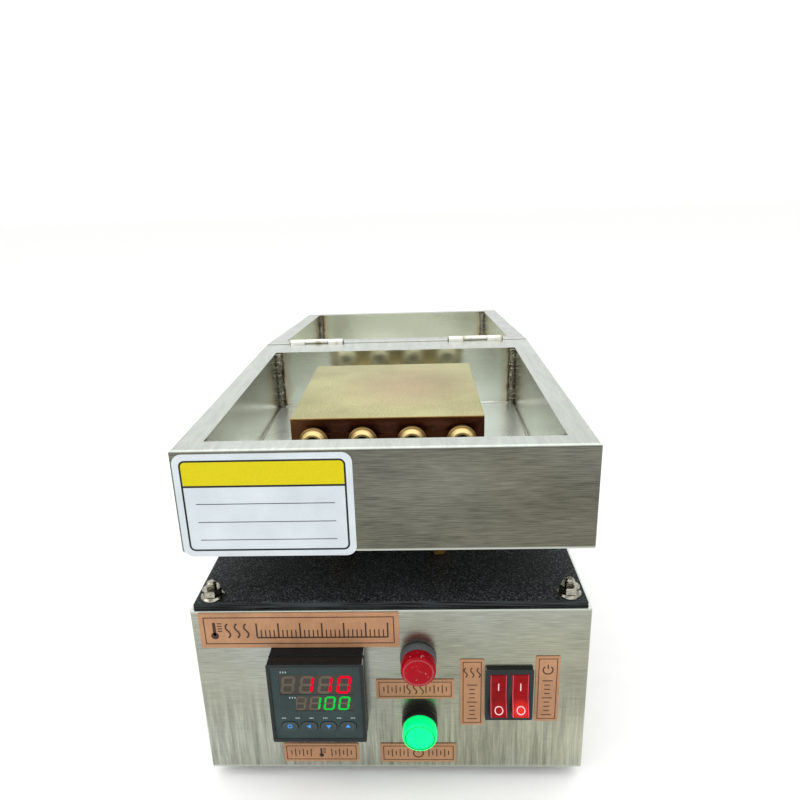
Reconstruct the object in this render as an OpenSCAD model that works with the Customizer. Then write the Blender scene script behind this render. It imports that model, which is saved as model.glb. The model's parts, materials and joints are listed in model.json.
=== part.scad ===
// Dry block heater: a folded steel cabinet with its controls, and above it, on pillars, a
// double-walled chamber that holds a brass heating block with four wells, under a hinged lid.
// Millimetres. X is right, Y is back, Z is up. The origin is on the bench, under the middle of
// the cabinet. The lid is modelled open, resting against the back of the chamber.

/* [Cabinet] */
// Width and depth of the cabinet
cabinet_w = 200; // [196:1:210]
// Height of the folded shell
cabinet_h = 100; // [98:1:110]
// Thickness of the cabinet's sheet
cabinet_t = 1.5; // [1.2:0.1:2]
// Height of the rubber feet
foot_h = 8; // [5:1:12]
// Distance of the feet from the cabinet's middle, along X and Y
foot_reach = 80; // [70:1:84]

/* [Insulation board] */
// Thickness of the board that closes the cabinet
board_t = 8; // [6:0.5:12]
// How far the board stands above the shell's edge
board_proud = 3.5; // [2:0.5:5]
// Distance of the studs from the middle, left and right
stud_x = 90; // [88:0.5:91]
// Distance of the studs from the middle, front and back
stud_y = 92; // [90:0.5:92.5]

/* [Chamber] */
// Free height between the board and the chamber
chamber_lift = 29; // [20:1:40]
// Width of the chamber
chamber_w = 200; // [190:1:210]
// Depth of the chamber, front to back
chamber_d = 205; // [200:1:215]
// Height of the chamber's outer walls
chamber_h = 53.5; // [50:0.5:60]
// Thickness of the chamber's and the lid's sheet
sheet_t = 1.2; // [1:0.1:1.5]
// Width of the rim at the sides
rim_side = 13.5; // [10:0.5:16]
// Width of the rim at the front
rim_front = 11.5; // [10:0.5:16]
// Width of the rim at the back, under the hinges
rim_back = 25; // [20:1:30]
// Depth of the chamber's floor below the rim
well_depth = 41.5; // [38:0.5:44]

/* [Heating block] */
// Width and depth of the brass block
block_w = 102; // [90:1:110]
// Height of the brass block
block_h = 25; // [22:1:30]
// Depth of the block's top below the rim
block_drop = 1.3; // [1:0.1:4]
// Distance between the wells
well_pitch = 26; // [24:0.5:27]
// Diameter of the wells
well_bore = 8.2; // [6:0.1:9]
// How far the bushes stand out of the block
bush_out = 6; // [4:0.5:8]

/* [Lid] */
// Length of the lid, from the hinge to its free edge
lid_l = 200; // [180:1:205]
// Height of the lid
lid_h = 50; // [46:1:50]
// Width of the lid's rim
lid_rim = 13.5; // [10:0.5:16]
// How far the open lid leans below level, where it rests against the chamber
lid_lean = 4.7; // [4:0.1:4.7]
// Length of each hinge
hinge_l = 40; // [30:1:50]
// Distance of each hinge from the middle
hinge_x = 60.5; // [50:0.5:70]

/* [Front panel] */
// Size of the controller's front, which is square
meter_w = 48; // [48:1:48]
// Middle of the controller, left or right of the cabinet's middle
meter_x = -37; // [-45:1:-30]
// Middle of the controller above the shell's bottom edge
meter_z = 54; // [50:1:58]
// How far the controller stands out
meter_out = 12.5; // [8:0.5:14]
// Diameter of the pilot lamps' heads
lamp_d = 18.6; // [18:0.1:20]
// Middle of the pilot lamps
lamp_x = 14; // [10:1:18]
// Height of the heating lamp above the shell's bottom edge
heating_lamp_z = 71; // [68:0.5:74]
// Height of the power lamp above the shell's bottom edge
power_lamp_z = 32.5; // [30:0.5:36]
// Middle of the double rocker switch
switch_x = 60.2; // [58:0.1:62]
// Height of the switch's middle above the shell's bottom edge
switch_z = 49.3; // [48:0.1:52]
// Angle that a rocker turns through
rocker_swing = 24; // [18:1:26]
// Travel of a controller key
key_travel = 0.5; // [0.3:0.1:0.8]

/* [Hidden] */
$fn = 48;
eps = 0.01;
fit_gap = 0.3;

// Cabinet
half = cabinet_w / 2;
shell_z = foot_h;
shell_top = shell_z + cabinet_h;
inner_half = half - cabinet_t;
lip_w = 14;
board_z = shell_top + board_proud - board_t;
board_top = board_z + board_t;
board_half = inner_half - fit_gap;
plate_z = shell_z + cabinet_t;
tab_w = 16;
tab_t = 2;
tab_reach = inner_half - tab_w / 2;
front_y = -half;
panel_back = front_y + cabinet_t;
m3_r = 1.5;
m4_r = 2;
m5_r = 2.5;
m3_head_r = 2.8;
m3_head_h = 1.8;
m3_l = 6;
m5_head_h = 3;
cutout_play = 0.4;
m5_head_r = 4.4;
thread_slack = 0.05;
hole_slack = 0.25;
nut_af = 8;
nut_h = 5;
nut_flange_r = 5.9;
nut_flange_t = 1.3;
stud_up = nut_h + 3.5;
stud_down = 8;
lower_nut_h = 4;
foot_points = [for (x = [-1, 1], y = [-1, 1]) [x * foot_reach, y * foot_reach]];
tab_points = [for (x = [-1, 1], y = [-1, 1]) [x * tab_reach, y * tab_reach]];
stud_points = [for (x = [-1, 1], y = [-1, 1]) [x * stud_x, y * stud_y]];

// Chamber
chamber_z = board_top + chamber_lift;
rim_z = chamber_z + chamber_h;
chamber_y0 = front_y + 2;
chamber_y1 = chamber_y0 + chamber_d;
chamber_cy = (chamber_y0 + chamber_y1) / 2;
floor_z = rim_z - well_depth;
fold_r = 1.6;
corner_r = 1.2;
well_x = chamber_w / 2 - rim_side;
well_y0 = chamber_y0 + rim_front;
well_y1 = chamber_y1 - rim_back;
pillar_af = 10;
pillar_x = 26.5;
pillar_y = 57;
pillar_hole = 10;
pillar_points = [for (x = [-1, 1], y = [-1, 1]) [x * pillar_x, chamber_cy + y * pillar_y]];
conduit_r = 8;
conduit_t = 1.2;
conduit_y = chamber_cy + pillar_y + 2;
bead_r = 2.4;

// Block and heaters
block_top = rim_z - block_drop;
block_z = block_top - block_h;
block_y0 = front_y + 46;
block_y1 = block_y0 + block_w;
block_cy = (block_y0 + block_y1) / 2;
well_z = block_top - block_h / 2;
wells = [for (i = [-1.5, -0.5, 0.5, 1.5]) i * well_pitch];
bush_collar_r = 7.7;
bush_collar_t = 2.5;
bush_spigot_r = 6;
bush_spigot_l = 12;
plate_w = 90;
heater_h = block_z - floor_z;
heater_r = 5;
heater_l = 80;
heater_x = 24;
heater_cz = floor_z + heater_h / 2;
probe_r = 2;
probe_l = 38;
bolt_reach = 36;
bolt_points = [for (x = [-1, 1], y = [-1, 1]) [x * bolt_reach, block_cy + y * bolt_reach]];
lead_r = 1.5;
lead_x = 3.7;
heater_y1 = block_cy + plate_w / 2;

// Lid and hinges
knuckle_r = 1.95;
pin_r = 1;
pin_slack = 0.05;
leaf_t = 1;
leaf_h = 20;
axis_back = 2.25;
axis_up = 1;
hinge_y = chamber_y1 + axis_back;
hinge_z = rim_z + axis_up;
end_knuckle = 11;
knuckle_gap = 0.3;
lid_depth = lid_h - 12;

// Controller
meter_cz = shell_z + meter_z;
meter_front = front_y - meter_out;
meter_body = 44.6;
meter_body_l = 75;
meter_wall = 1.6;
meter_face_w = meter_w - 2 * meter_wall;
face_t = 2;
face_set = 0.5;
groove_y = 7.8;
groove_w = 2.2;
groove_d = 0.35;
face_front = meter_front + face_set;
pv_x = 0.3;
pv_z = 11.5;
pv_w = 37;
pv_h = 12.2;
sv_x = 3.6;
sv_z = 0;
sv_w = 29;
sv_h = 9.4;
key_pitch = 9.9;
key_w = 8.2;
key_h = 5.8;
key_z = -14.3;
key_proud = 0.35;
key_depth = 2.3;
stem_r = 1.5;
stem_l = 1;

// Lamps
lens_r = lamp_d / 2 - 0.5;
barrel_r = 7.9;
barrel_l = 32;
lamp_hole_r = 8.1;
bezel_l = 3.4;
heating_gasket = 0.6;
power_gasket = 3;
lens_l = 6.4;

// Switch
switch_w = 24.4;
switch_h = 31.8;
switch_t = 2;
switch_body_w = 21.8;
switch_body_h = 28.8;
switch_body_l = 20;
switch_cz = shell_z + switch_z;
rocker_w = 8.2;
rocker_pitch = 11.2;
rocker_r = 13.4;
rocker_face = 5;
pivot_y = front_y - switch_t + rocker_face - 0.5;
window_w = rocker_w + 0.7;
pivot_r = 1.2;
blade_out = 8;

// Labels: middle X, middle above the shell's bottom edge, width, height
label_t = 0.5;
title_label = [-45.6, 88.7, 100.6, 20.6];
small_labels = [
    [-39.3, 10.1, 40.5, 12],
    [12, 52, 40.2, 12],
    [12.9, 9.9, 40.2, 12.2],
    [41.3, 49.6, 12.2, 41.4],
    [79.6, 51.8, 12.2, 40.6],
];
sticker_t = 0.35;
sticker_w = 84.4;
sticker_h = 54;
sticker_x = -56.5;
sticker_z = chamber_z + 24.9;
sticker_r = 5;

// Mains side
inlet_x = -58;
inlet_z = shell_z + 30;
inlet_w = 27;
inlet_h = 19.6;
inlet_flange_w = 50;
inlet_flange_h = 22.6;
inlet_flange_t = 3;
inlet_l = 24;
inlet_screw_x = 20;
inlet_screw_l = 8;
socket_w = 24;
socket_h = 16.4;
socket_l = 17;
blade_l = 12;
relay_x = 50;
relay_y = 20;
sink_w = 80;
sink_h = 16;
relay_w = 45;
relay_d = 58;
relay_h = 23;
relay_step = 8;
relay_end = 11;
sink_base = 5;
sink_boss_r = 4;
sink_points = [for (x = [-1, 1], y = [-1, 1]) [relay_x + x * 30, relay_y + y * 32]];
strip_x = -52;
strip_y = 30;
strip_w = 60;
strip_d = 20;
strip_h = 20;
strip_points = [for (s = [-1, 1]) [strip_x + s * 26, strip_y]];
strip_ways = 6;
strip_pitch = 7;
function strip_way(i) = strip_x + (i - (strip_ways - 1) / 2) * strip_pitch;
vent_n = 9;
vent_w = 3;
vent_pitch = 7;
wire_r = 1.6;
bundle_r = 5.4;
bundle_top = board_z - 10;

// ---- Shared shapes ----

// A box centred on X, from y0 to y1 and z0 to z1
module slab(w, y0, y1, z0, z1) {
    translate([-w / 2, y0, z0]) cube([w, y1 - y0, z1 - z0]);
}

// A box given by its middle in X and Y, and its underside
module block_at(x, y, z, w, d, h) {
    translate([x - w / 2, y - d / 2, z]) cube([w, d, h]);
}

// A cylinder along Y that starts at y and runs backwards
module rod_y(x, y, z, r, l) {
    translate([x, y, z]) rotate([-90, 0, 0]) cylinder(r = r, h = l);
}

// A cylinder along Z
module rod_z(x, y, z, r, l) {
    translate([x, y, z]) cylinder(r = r, h = l);
}

// A cylinder along X
module rod_x(x, y, z, r, l) {
    translate([x, y, z]) rotate([0, 90, 0]) cylinder(r = r, h = l);
}

// A rectangle with its two upper corners rounded
module arch(w, h, r) {
    translate([-w / 2, 0]) square([w, h - r]);
    translate([r - w / 2, 0]) square([w - 2 * r, h]);
    for (s = [-1, 1]) translate([s * (w / 2 - r), h - r]) circle(r = r);
}

// A rectangle with all four corners rounded, centred
module round_rect(w, h, r) {
    square([w - 2 * r, h], center = true);
    square([w, h - 2 * r], center = true);
    for (x = [-1, 1], y = [-1, 1]) translate([x * (w / 2 - r), y * (h / 2 - r)]) circle(r = r);
}

// A box centred in X and Z, from y0 to y1
module slab_at(x, z, w, h, y0, y1) {
    translate([x - w / 2, y0, z - h / 2]) cube([w, y1 - y0, h]);
}

// The cutout for a body of w by h in a wall that starts at y
module slab_hole(x, z, w, h, y) {
    slab_at(x, z, w + cutout_play, h + cutout_play, y - 1, y + cabinet_t + 1);
}

// A plate on the front panel's plane: a rounded rectangle in X and Z, y0 to y1
module panel_plate(x, z, w, h, r, y0, y1) {
    translate([x, y1, z]) rotate([90, 0, 0]) linear_extrude(y1 - y0) round_rect(w, h, r);
}

// A folded box, upright, with its front face at Y 0: its corners and upper edges are rounded
module folded_box(w, d, h) {
    intersection() {
        translate([0, d, 0]) rotate([90, 0, 0]) linear_extrude(d) arch(w, h, fold_r);
        translate([-w / 2, d / 2, 0]) rotate([90, 0, 90]) linear_extrude(w) arch(d, h, fold_r);
        translate([0, d / 2, 0]) linear_extrude(h) round_rect(w, d, corner_r);
    }
}

// A double-walled tray: outer walls, a flat rim and inner walls. The space between is hollow.
// skin closes the underside when it is above 0.
module double_wall(w, d, h, front, back, side, depth, skin) {
    difference() {
        folded_box(w, d, h);
        difference() {
            slab(w - 2 * sheet_t, sheet_t, d - sheet_t, skin > 0 ? skin : -1, h - sheet_t);
            slab(w - 2 * side + 2 * sheet_t, front - sheet_t, d - back + sheet_t,
                 h - depth - sheet_t, h);
        }
        slab(w - 2 * side, front, d - back, h - depth - sheet_t - eps, h + 1);
    }
}

// Four corner beads of a well, from its floor to just under the rim
module corner_beads(side_x, y0, y1, z0, z1) {
    for (sx = [-1, 1], e = [[y0, 1], [y1, -1]])
        translate([sx * side_x, e[0], z0])
            intersection() {
                cylinder(r = bead_r, h = z1 - z0);
                translate([sx > 0 ? -bead_r - 1 : 0, e[1] > 0 ? 0 : -bead_r - 1, 0])
                    cube([bead_r + 1, bead_r + 1, z1 - z0]);
            }
}

// A hexagonal prism with its flats facing front and back
module hex(x, y, z, af, h) {
    translate([x, y, z]) cylinder(r = af / sqrt(3), h = h, $fn = 6);
}

// Places a shape made with the hinge axis at its origin and the lid running to +Y
module open_lid() {
    translate([0, hinge_y, hinge_z]) rotate([-lid_lean, 0, 0]) children();
}

// A wire through the points, with slightly thicker bends
module wire(points, r) {
    for (i = [1 : len(points) - 1]) {
        run = points[i] - points[i - 1];
        translate(points[i - 1]) rotate([0, acos(run[2] / norm(run)), atan2(run[1], run[0])])
            cylinder(r = r, h = norm(run));
        if (i > 1) translate(points[i - 1]) sphere(r = 1.15 * r);
    }
}

// A cap screw that points down: the head sits above z, the shank below
module screw_down(x, y, z, r, l, head_r, head_h) {
    rod_z(x, y, z, head_r, head_h);
    rod_z(x, y, z - l, r, l + eps);
}

// A cap screw that points up
module screw_up(x, y, z, r, l, head_r, head_h) {
    rod_z(x, y, z - head_h, head_r, head_h);
    rod_z(x, y, z - eps, r, l + eps);
}

// ---- Cabinet ----

module cabinet_shell() {
    color("silver") difference() {
        union() {
            difference() {
                translate([0, 0, shell_z]) linear_extrude(cabinet_h)
                    round_rect(cabinet_w, cabinet_w, corner_r);
                slab(2 * inner_half, -inner_half, inner_half, shell_z - 1, shell_top + 1);
            }
            difference() {
                slab(2 * inner_half, -inner_half, inner_half, board_z - cabinet_t, board_z);
                slab(2 * (inner_half - lip_w), -(inner_half - lip_w), inner_half - lip_w,
                     board_z - cabinet_t - 1, board_z + 1);
            }
            for (p = tab_points) block_at(p[0], p[1], plate_z, tab_w, tab_w, tab_t);
        }
        for (p = stud_points)
            rod_z(p[0], p[1], board_z - cabinet_t - 1, m5_r + hole_slack, cabinet_t + 2);
        for (p = tab_points) rod_z(p[0], p[1], plate_z - 1, m3_r + thread_slack, tab_t + 2);
        slab_hole(meter_x, meter_cz, meter_body, meter_body, front_y);
        for (z = [heating_lamp_z, power_lamp_z])
            rod_y(lamp_x, front_y - 1, shell_z + z, lamp_hole_r, cabinet_t + 2);
        slab_hole(switch_x, switch_cz, switch_body_w, switch_body_h, front_y);
        slab_hole(inlet_x, inlet_z, inlet_w, inlet_h, inner_half);
        for (s = [-1, 1])
            rod_y(inlet_x + s * inlet_screw_x, inner_half - 1, inlet_z, m3_r + thread_slack,
                  cabinet_t + 2);
        for (i = [0 : vent_n - 1])
            translate([20 + i * vent_pitch, inner_half - 1, shell_z + 40])
                cube([vent_w, cabinet_t + 2, 36]);
    }
}

module bottom_plate() {
    color("gainsboro") difference() {
        block_at(0, 0, shell_z, 2 * inner_half - 0.4, 2 * inner_half - 0.4, cabinet_t);
        for (p = tab_points) rod_z(p[0], p[1], shell_z - 1, m3_r + hole_slack, cabinet_t + 2);
        for (p = foot_points) rod_z(p[0], p[1], shell_z - 1, m4_r + thread_slack, cabinet_t + 2);
        for (p = concat(sink_points, strip_points))
            rod_z(p[0], p[1], shell_z - 1, m3_r + thread_slack, cabinet_t + 2);
        for (i = [0 : vent_n - 1])
            translate([-28 + i * vent_pitch, -60, shell_z - 1])
                cube([vent_w, 40, cabinet_t + 2]);
    }
}

module rubber_feet() {
    color("#222222") for (p = foot_points) difference() {
        translate([p[0], p[1], 0]) cylinder(r1 = 9, r2 = 10.5, h = foot_h);
        rod_z(p[0], p[1], -1, 4, 4.5);
        rod_z(p[0], p[1], 0, m4_r + hole_slack, foot_h + 1);
    }
}

module foot_screws() {
    color("silver") for (p = foot_points) screw_up(p[0], p[1], 3.5, m4_r, 9, 3.6, 2.2);
}

module m3_screws() {
    color("silver") {
        for (p = tab_points) screw_up(p[0], p[1], shell_z, m3_r, m3_l, m3_head_r, m3_head_h);
        for (s = [-1, 1]) {
            x = inlet_x + s * inlet_screw_x;
            rod_y(x, half + inlet_flange_t, inlet_z, m3_head_r, m3_head_h);
            rod_y(x, half + inlet_flange_t - inlet_screw_l, inlet_z, m3_r, inlet_screw_l + eps);
        }
        for (p = sink_points) screw_up(p[0], p[1], shell_z, m3_r, m3_l, m3_head_r, m3_head_h);
        for (p = strip_points)
            screw_down(p[0], p[1], plate_z + m3_l, m3_r, m3_l + cabinet_t, m3_head_r, m3_head_h);
    }
}

module insulation_board() {
    color("#2b2d2e") difference() {
        block_at(0, 0, board_z, 2 * board_half, 2 * board_half, board_t);
        for (p = stud_points) rod_z(p[0], p[1], board_z - 1, m5_r + hole_slack, board_t + 2);
        for (p = pillar_points) rod_z(p[0], p[1], board_z - 1, m5_r + hole_slack, board_t + 2);
        rod_z(0, conduit_y, board_z - 1, conduit_r + hole_slack, board_t + 2);
    }
}

module board_studs() {
    color("silver") for (p = stud_points)
        rod_z(p[0], p[1], board_z - stud_down, m5_r, board_t + stud_up + stud_down);
}

module stud_flange_nuts() {
    color("silver") for (p = stud_points) difference() {
        union() {
            rod_z(p[0], p[1], board_top, nut_flange_r, nut_flange_t);
            hex(p[0], p[1], board_top, nut_af, nut_h);
        }
        rod_z(p[0], p[1], board_top - 1, m5_r + thread_slack, nut_h + 2);
    }
}

module stud_lower_nuts() {
    z = board_z - cabinet_t - lower_nut_h;
    color("silver") for (p = stud_points) difference() {
        hex(p[0], p[1], z, nut_af, lower_nut_h);
        rod_z(p[0], p[1], z - 1, m5_r + thread_slack, lower_nut_h + 2);
    }
}

// ---- Chamber ----

module chamber_pillars() {
    color("#b08d4a") for (p = pillar_points) difference() {
        hex(p[0], p[1], board_top, pillar_af, chamber_lift);
        rod_z(p[0], p[1], board_top - 1, m5_r + thread_slack, pillar_hole + 1);
        rod_z(p[0], p[1], chamber_z - pillar_hole, m5_r + thread_slack, pillar_hole + 1);
    }
}

module pillar_screws() {
    color("silver") for (p = pillar_points) {
        screw_up(p[0], p[1], board_z, m5_r, board_t + pillar_hole - 2, m5_head_r, m5_head_h);
        screw_down(p[0], p[1], chamber_z + sheet_t, m5_r, sheet_t + pillar_hole - 2, m5_head_r, m5_head_h);
    }
}

module wire_conduit() {
    z0 = board_z - 6;
    color("silver") difference() {
        rod_z(0, conduit_y, z0, conduit_r, floor_z - sheet_t - z0);
        rod_z(0, conduit_y, z0 - 1, conduit_r - conduit_t, floor_z - z0 + 2);
    }
}

module chamber_shell() {
    color("#c9cac6") translate([0, chamber_y0, chamber_z])
        double_wall(chamber_w, chamber_d, chamber_h, rim_front, rim_back, rim_side,
                    well_depth, 0);
}

module chamber_floor() {
    color("#b9bcb9") difference() {
        slab(2 * well_x, well_y0, well_y1, floor_z - sheet_t, floor_z);
        for (p = bolt_points)
            rod_z(p[0], p[1], floor_z - sheet_t - 1, m5_r + hole_slack, sheet_t + 2);
        rod_z(0, conduit_y, floor_z - sheet_t - 1, conduit_r - conduit_t, sheet_t + 2);
    }
}

module chamber_base() {
    gap = sheet_t + 0.1;
    color("#b9bcb9") difference() {
        slab(chamber_w - 2 * gap, chamber_y0 + gap, chamber_y1 - gap, chamber_z,
             chamber_z + sheet_t);
        for (p = concat(pillar_points, bolt_points))
            rod_z(p[0], p[1], chamber_z - 1, m5_r + hole_slack, sheet_t + 2);
        rod_z(0, conduit_y, chamber_z - 1, conduit_r + hole_slack, sheet_t + 2);
    }
}

module chamber_insulation() {
    gap = sheet_t + fit_gap;
    color("#efe9d8") difference() {
        slab(chamber_w - 2 * gap, chamber_y0 + gap, chamber_y1 - gap, chamber_z + sheet_t + 0.1,
             rim_z - gap);
        slab(2 * (well_x + gap), well_y0 - gap, well_y1 + gap, floor_z - gap, rim_z);
        for (p = pillar_points) rod_z(p[0], p[1], chamber_z, m5_head_r + 1, chamber_h);
        for (p = bolt_points) rod_z(p[0], p[1], chamber_z, m5_r + 1, chamber_h);
        rod_z(0, conduit_y, chamber_z, conduit_r + fit_gap, chamber_h);
    }
}

module chamber_weld_beads() {
    color("#4a4540") corner_beads(well_x, well_y0, well_y1, floor_z, rim_z - sheet_t);
}

// ---- Heating block ----

module heating_block() {
    color("#b9a968") difference() {
        slab(block_w, block_y0, block_y1, block_z, block_top);
        for (x = wells) {
            rod_y(x, block_y0 - 1, well_z, well_bore / 2, block_w + 2);
            rod_y(x, block_y0 - 1, well_z, bush_spigot_r + thread_slack, bush_spigot_l + 1.2);
            rod_y(x, block_y1 - bush_spigot_l - 0.2, well_z, bush_spigot_r + thread_slack,
                  bush_spigot_l + 1.2);
        }
        for (p = bolt_points) rod_z(p[0], p[1], block_z - 1, m5_r + thread_slack, 7);
    }
}

// A bush with its collar on the plane Y 0 and its nose towards -Y
module bush() {
    nose_l = bush_out - bush_collar_t;
    difference() {
        union() {
            rod_y(0, -bush_collar_t, 0, bush_collar_r, bush_collar_t);
            rod_y(0, -eps, 0, bush_spigot_r, bush_spigot_l);
            translate([0, -bush_out, 0]) rotate([-90, 0, 0])
                cylinder(r1 = 5.6, r2 = 6.7, h = nose_l + eps);
        }
        rod_y(0, -bush_out - 1, 0, well_bore / 2, bush_out + bush_spigot_l + 2);
    }
}

module front_bushes() {
    color("#c8a95a") for (x = wells) translate([x, block_y0, well_z]) bush();
}

module rear_bushes() {
    color("#c8a95a") for (x = wells) translate([x, block_y1, well_z]) rotate([0, 0, 180]) bush();
}

module heater_plate() {
    y1 = heater_y1;
    color("#a9adb0") difference() {
        block_at(0, block_cy, floor_z, plate_w, plate_w, heater_h);
        for (s = [-1, 1])
            rod_y(s * heater_x, y1 - heater_l - 2, heater_cz, heater_r + thread_slack, heater_l + 3);
        rod_y(0, y1 - probe_l - 2, heater_cz, probe_r + thread_slack, probe_l + 3);
        for (p = bolt_points)
            rod_z(p[0], p[1], floor_z - 1, m5_r + hole_slack, heater_h + 2);
    }
}

module cartridge_heaters() {
    color("#8d8f90") for (s = [-1, 1])
        rod_y(s * heater_x, heater_y1 - heater_l - 1, heater_cz, heater_r, heater_l + 3);
}

module temperature_probe() {
    color("#c0c2c4") rod_y(0, heater_y1 - probe_l, heater_cz, probe_r, probe_l + 5);
}

module block_bolts() {
    color("silver") for (p = bolt_points)
        screw_up(p[0], p[1], chamber_z, m5_r, block_z + 5 - chamber_z, m5_head_r, m5_head_h);
}

// Two heater leads and the probe's lead run back, in, and down through the conduit
module heater_leads() {
    z = heater_cz;
    color("#d8d2c4") {
        for (s = [-1, 1])
            wire([[s * heater_x, heater_y1 + 2, z], [s * heater_x, conduit_y, z],
                  [s * lead_x, conduit_y, z], [s * lead_x, conduit_y, bundle_top]], lead_r);
        wire([[0, heater_y1 + 5, z], [0, conduit_y + lead_x, z],
              [0, conduit_y + lead_x, bundle_top]], lead_r);
    }
}

// ---- Lid ----

module lid_shell() {
    color("#c9cac6") open_lid() translate([0, axis_back, -axis_up - lid_h])
        double_wall(chamber_w, lid_l, lid_h, lid_rim, lid_rim, lid_rim, lid_depth, sheet_t);
}

module lid_liner() {
    z = -axis_up - lid_depth;
    color("#b9bcb9") open_lid()
        slab(chamber_w - 2 * lid_rim, axis_back + lid_rim, axis_back + lid_l - lid_rim,
             z - sheet_t, z);
}

module lid_insulation() {
    gap = sheet_t + fit_gap;
    z0 = -axis_up - lid_h;
    color("#efe9d8") open_lid() difference() {
        slab(chamber_w - 2 * gap, axis_back + gap, axis_back + lid_l - gap, z0 + gap,
             -axis_up - gap);
        slab(chamber_w - 2 * lid_rim + 2 * gap, axis_back + lid_rim - gap,
             axis_back + lid_l - lid_rim + gap, -axis_up - lid_depth - gap, 0);
    }
}

module lid_weld_beads() {
    color("#4a4540") open_lid()
        corner_beads(chamber_w / 2 - lid_rim, axis_back + lid_rim, axis_back + lid_l - lid_rim,
                     -axis_up - lid_depth, -axis_up - sheet_t);
}

// A leaf that hangs down a wall at distance axis_back in front of the axis, and its knuckles
module hinge_leaf(knuckles) {
    difference() {
        union() {
            for (k = knuckles) {
                rod_x(k[0], 0, 0, knuckle_r, k[1]);
                translate([k[0], -axis_back, -axis_up - 3]) cube([k[1], leaf_t, axis_up + 3]);
                translate([k[0], -axis_back, -0.5]) cube([k[1], axis_back, 1]);
            }
            translate([-hinge_l / 2, -axis_back, -axis_up - leaf_h])
                cube([hinge_l, leaf_t, leaf_h - 2]);
        }
        rod_x(-hinge_l / 2 - 1, 0, 0, pin_r + pin_slack, hinge_l + 2);
    }
}

module chamber_hinge_leaves() {
    ends = [[-hinge_l / 2, end_knuckle], [hinge_l / 2 - end_knuckle, end_knuckle]];
    color("#cfcfca") for (s = [-1, 1]) translate([s * hinge_x, hinge_y, hinge_z])
        hinge_leaf(ends);
}

module lid_hinge_leaves() {
    w = hinge_l - 2 * end_knuckle - 2 * knuckle_gap;
    color("#cfcfca") open_lid() for (s = [-1, 1]) translate([s * hinge_x, 0, 0])
        mirror([0, 1, 0]) hinge_leaf([[-w / 2, w]]);
}

module hinge_pins() {
    color("#b8b8b2") for (s = [-1, 1]) translate([s * hinge_x, hinge_y, hinge_z]) {
        rod_x(-hinge_l / 2 - 0.3, 0, 0, pin_r, hinge_l + 0.6);
        for (e = [-1, 1]) rod_x(e * (hinge_l / 2 + 0.45) - 0.4, 0, 0, 1.5, 0.8);
    }
}

// ---- Controller ----

module controller_case() {
    y1 = front_y + meter_body_l;
    color("#2b2f31") difference() {
        union() {
            panel_plate(meter_x, meter_cz, meter_w, meter_w, 0.8, meter_front, front_y);
            slab_at(meter_x, meter_cz, meter_body, meter_body, front_y - 1, y1);
        }
        difference() {
            panel_plate(meter_x, meter_cz, meter_w + 2, meter_w + 2, 1,
                        front_y - groove_y, front_y - groove_y + groove_w);
            slab_at(meter_x, meter_cz, meter_w - 2 * groove_d, meter_w - 2 * groove_d,
                    front_y - groove_y - 1, front_y);
        }
        slab_at(meter_x, meter_cz, meter_face_w, meter_face_w, meter_front - 1, front_y - 3);
        slab_at(meter_x, meter_cz, meter_body - 3, meter_body - 3, front_y - 4, y1 - 8);
    }
}

module controller_face() {
    w = meter_face_w - 0.2;
    color("#3a4547") difference() {
        slab_at(meter_x, meter_cz, w, w, face_front, face_front + face_t);
        slab_at(meter_x + pv_x, meter_cz + pv_z, pv_w, pv_h, face_front - 1,
                face_front + face_t + 1);
        slab_at(meter_x + sv_x, meter_cz + sv_z, sv_w, sv_h, face_front - 1,
                face_front + face_t + 1);
        for (i = [0 : 3])
            key_shape(i, key_w + 2 * fit_gap, key_h + 2 * fit_gap, face_front - 1,
                      face_front + face_t + 1);
    }
}

module controller_windows() {
    color("#4a4640") {
        slab_at(meter_x + pv_x, meter_cz + pv_z, pv_w, pv_h, face_front + 0.2,
                face_front + face_t);
        slab_at(meter_x + sv_x, meter_cz + sv_z, sv_w, sv_h, face_front + 0.2,
                face_front + face_t);
    }
}

module display_board() {
    y = face_front + face_t + 5;
    color("#1f5c3a") {
        slab_at(meter_x, meter_cz, 40, 40, y, y + 1.6);
        slab_at(meter_x + pv_x, meter_cz + pv_z, pv_w - 2, pv_h - 1, y - 4, y + eps);
        slab_at(meter_x + sv_x, meter_cz + sv_z, sv_w - 2, sv_h - 1, y - 4, y + eps);
    }
}

// The oval of key i, from y0 to y1
module key_shape(i, w, h, y0, y1) {
    panel_plate(meter_x + (i - 1.5) * key_pitch, meter_cz + key_z, w, h, h / 2 - eps, y0, y1);
}

module controller_key(i) {
    color("#9aa5aa") {
        key_shape(i, key_w, key_h, face_front - key_proud, face_front + key_depth);
        rod_y(meter_x + (i - 1.5) * key_pitch, face_front + key_depth - eps, meter_cz + key_z,
              stem_r, stem_l);
    }
}

module mode_key() controller_key(0);
module shift_key() controller_key(1);
module down_key() controller_key(2);
module up_key() controller_key(3);

module controller_clip() {
    y0 = panel_back + 0.2;
    color("#33383a") difference() {
        slab_at(meter_x, meter_cz, 53, 53, y0, y0 + 14);
        slab_at(meter_x, meter_cz, meter_body + 0.4, meter_body + 0.4, y0 - 1, y0 + 16);
        slab_at(meter_x, meter_cz, 60, 30, y0 + 5, y0 + 16);
    }
}

// ---- Pilot lamps ----

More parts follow.
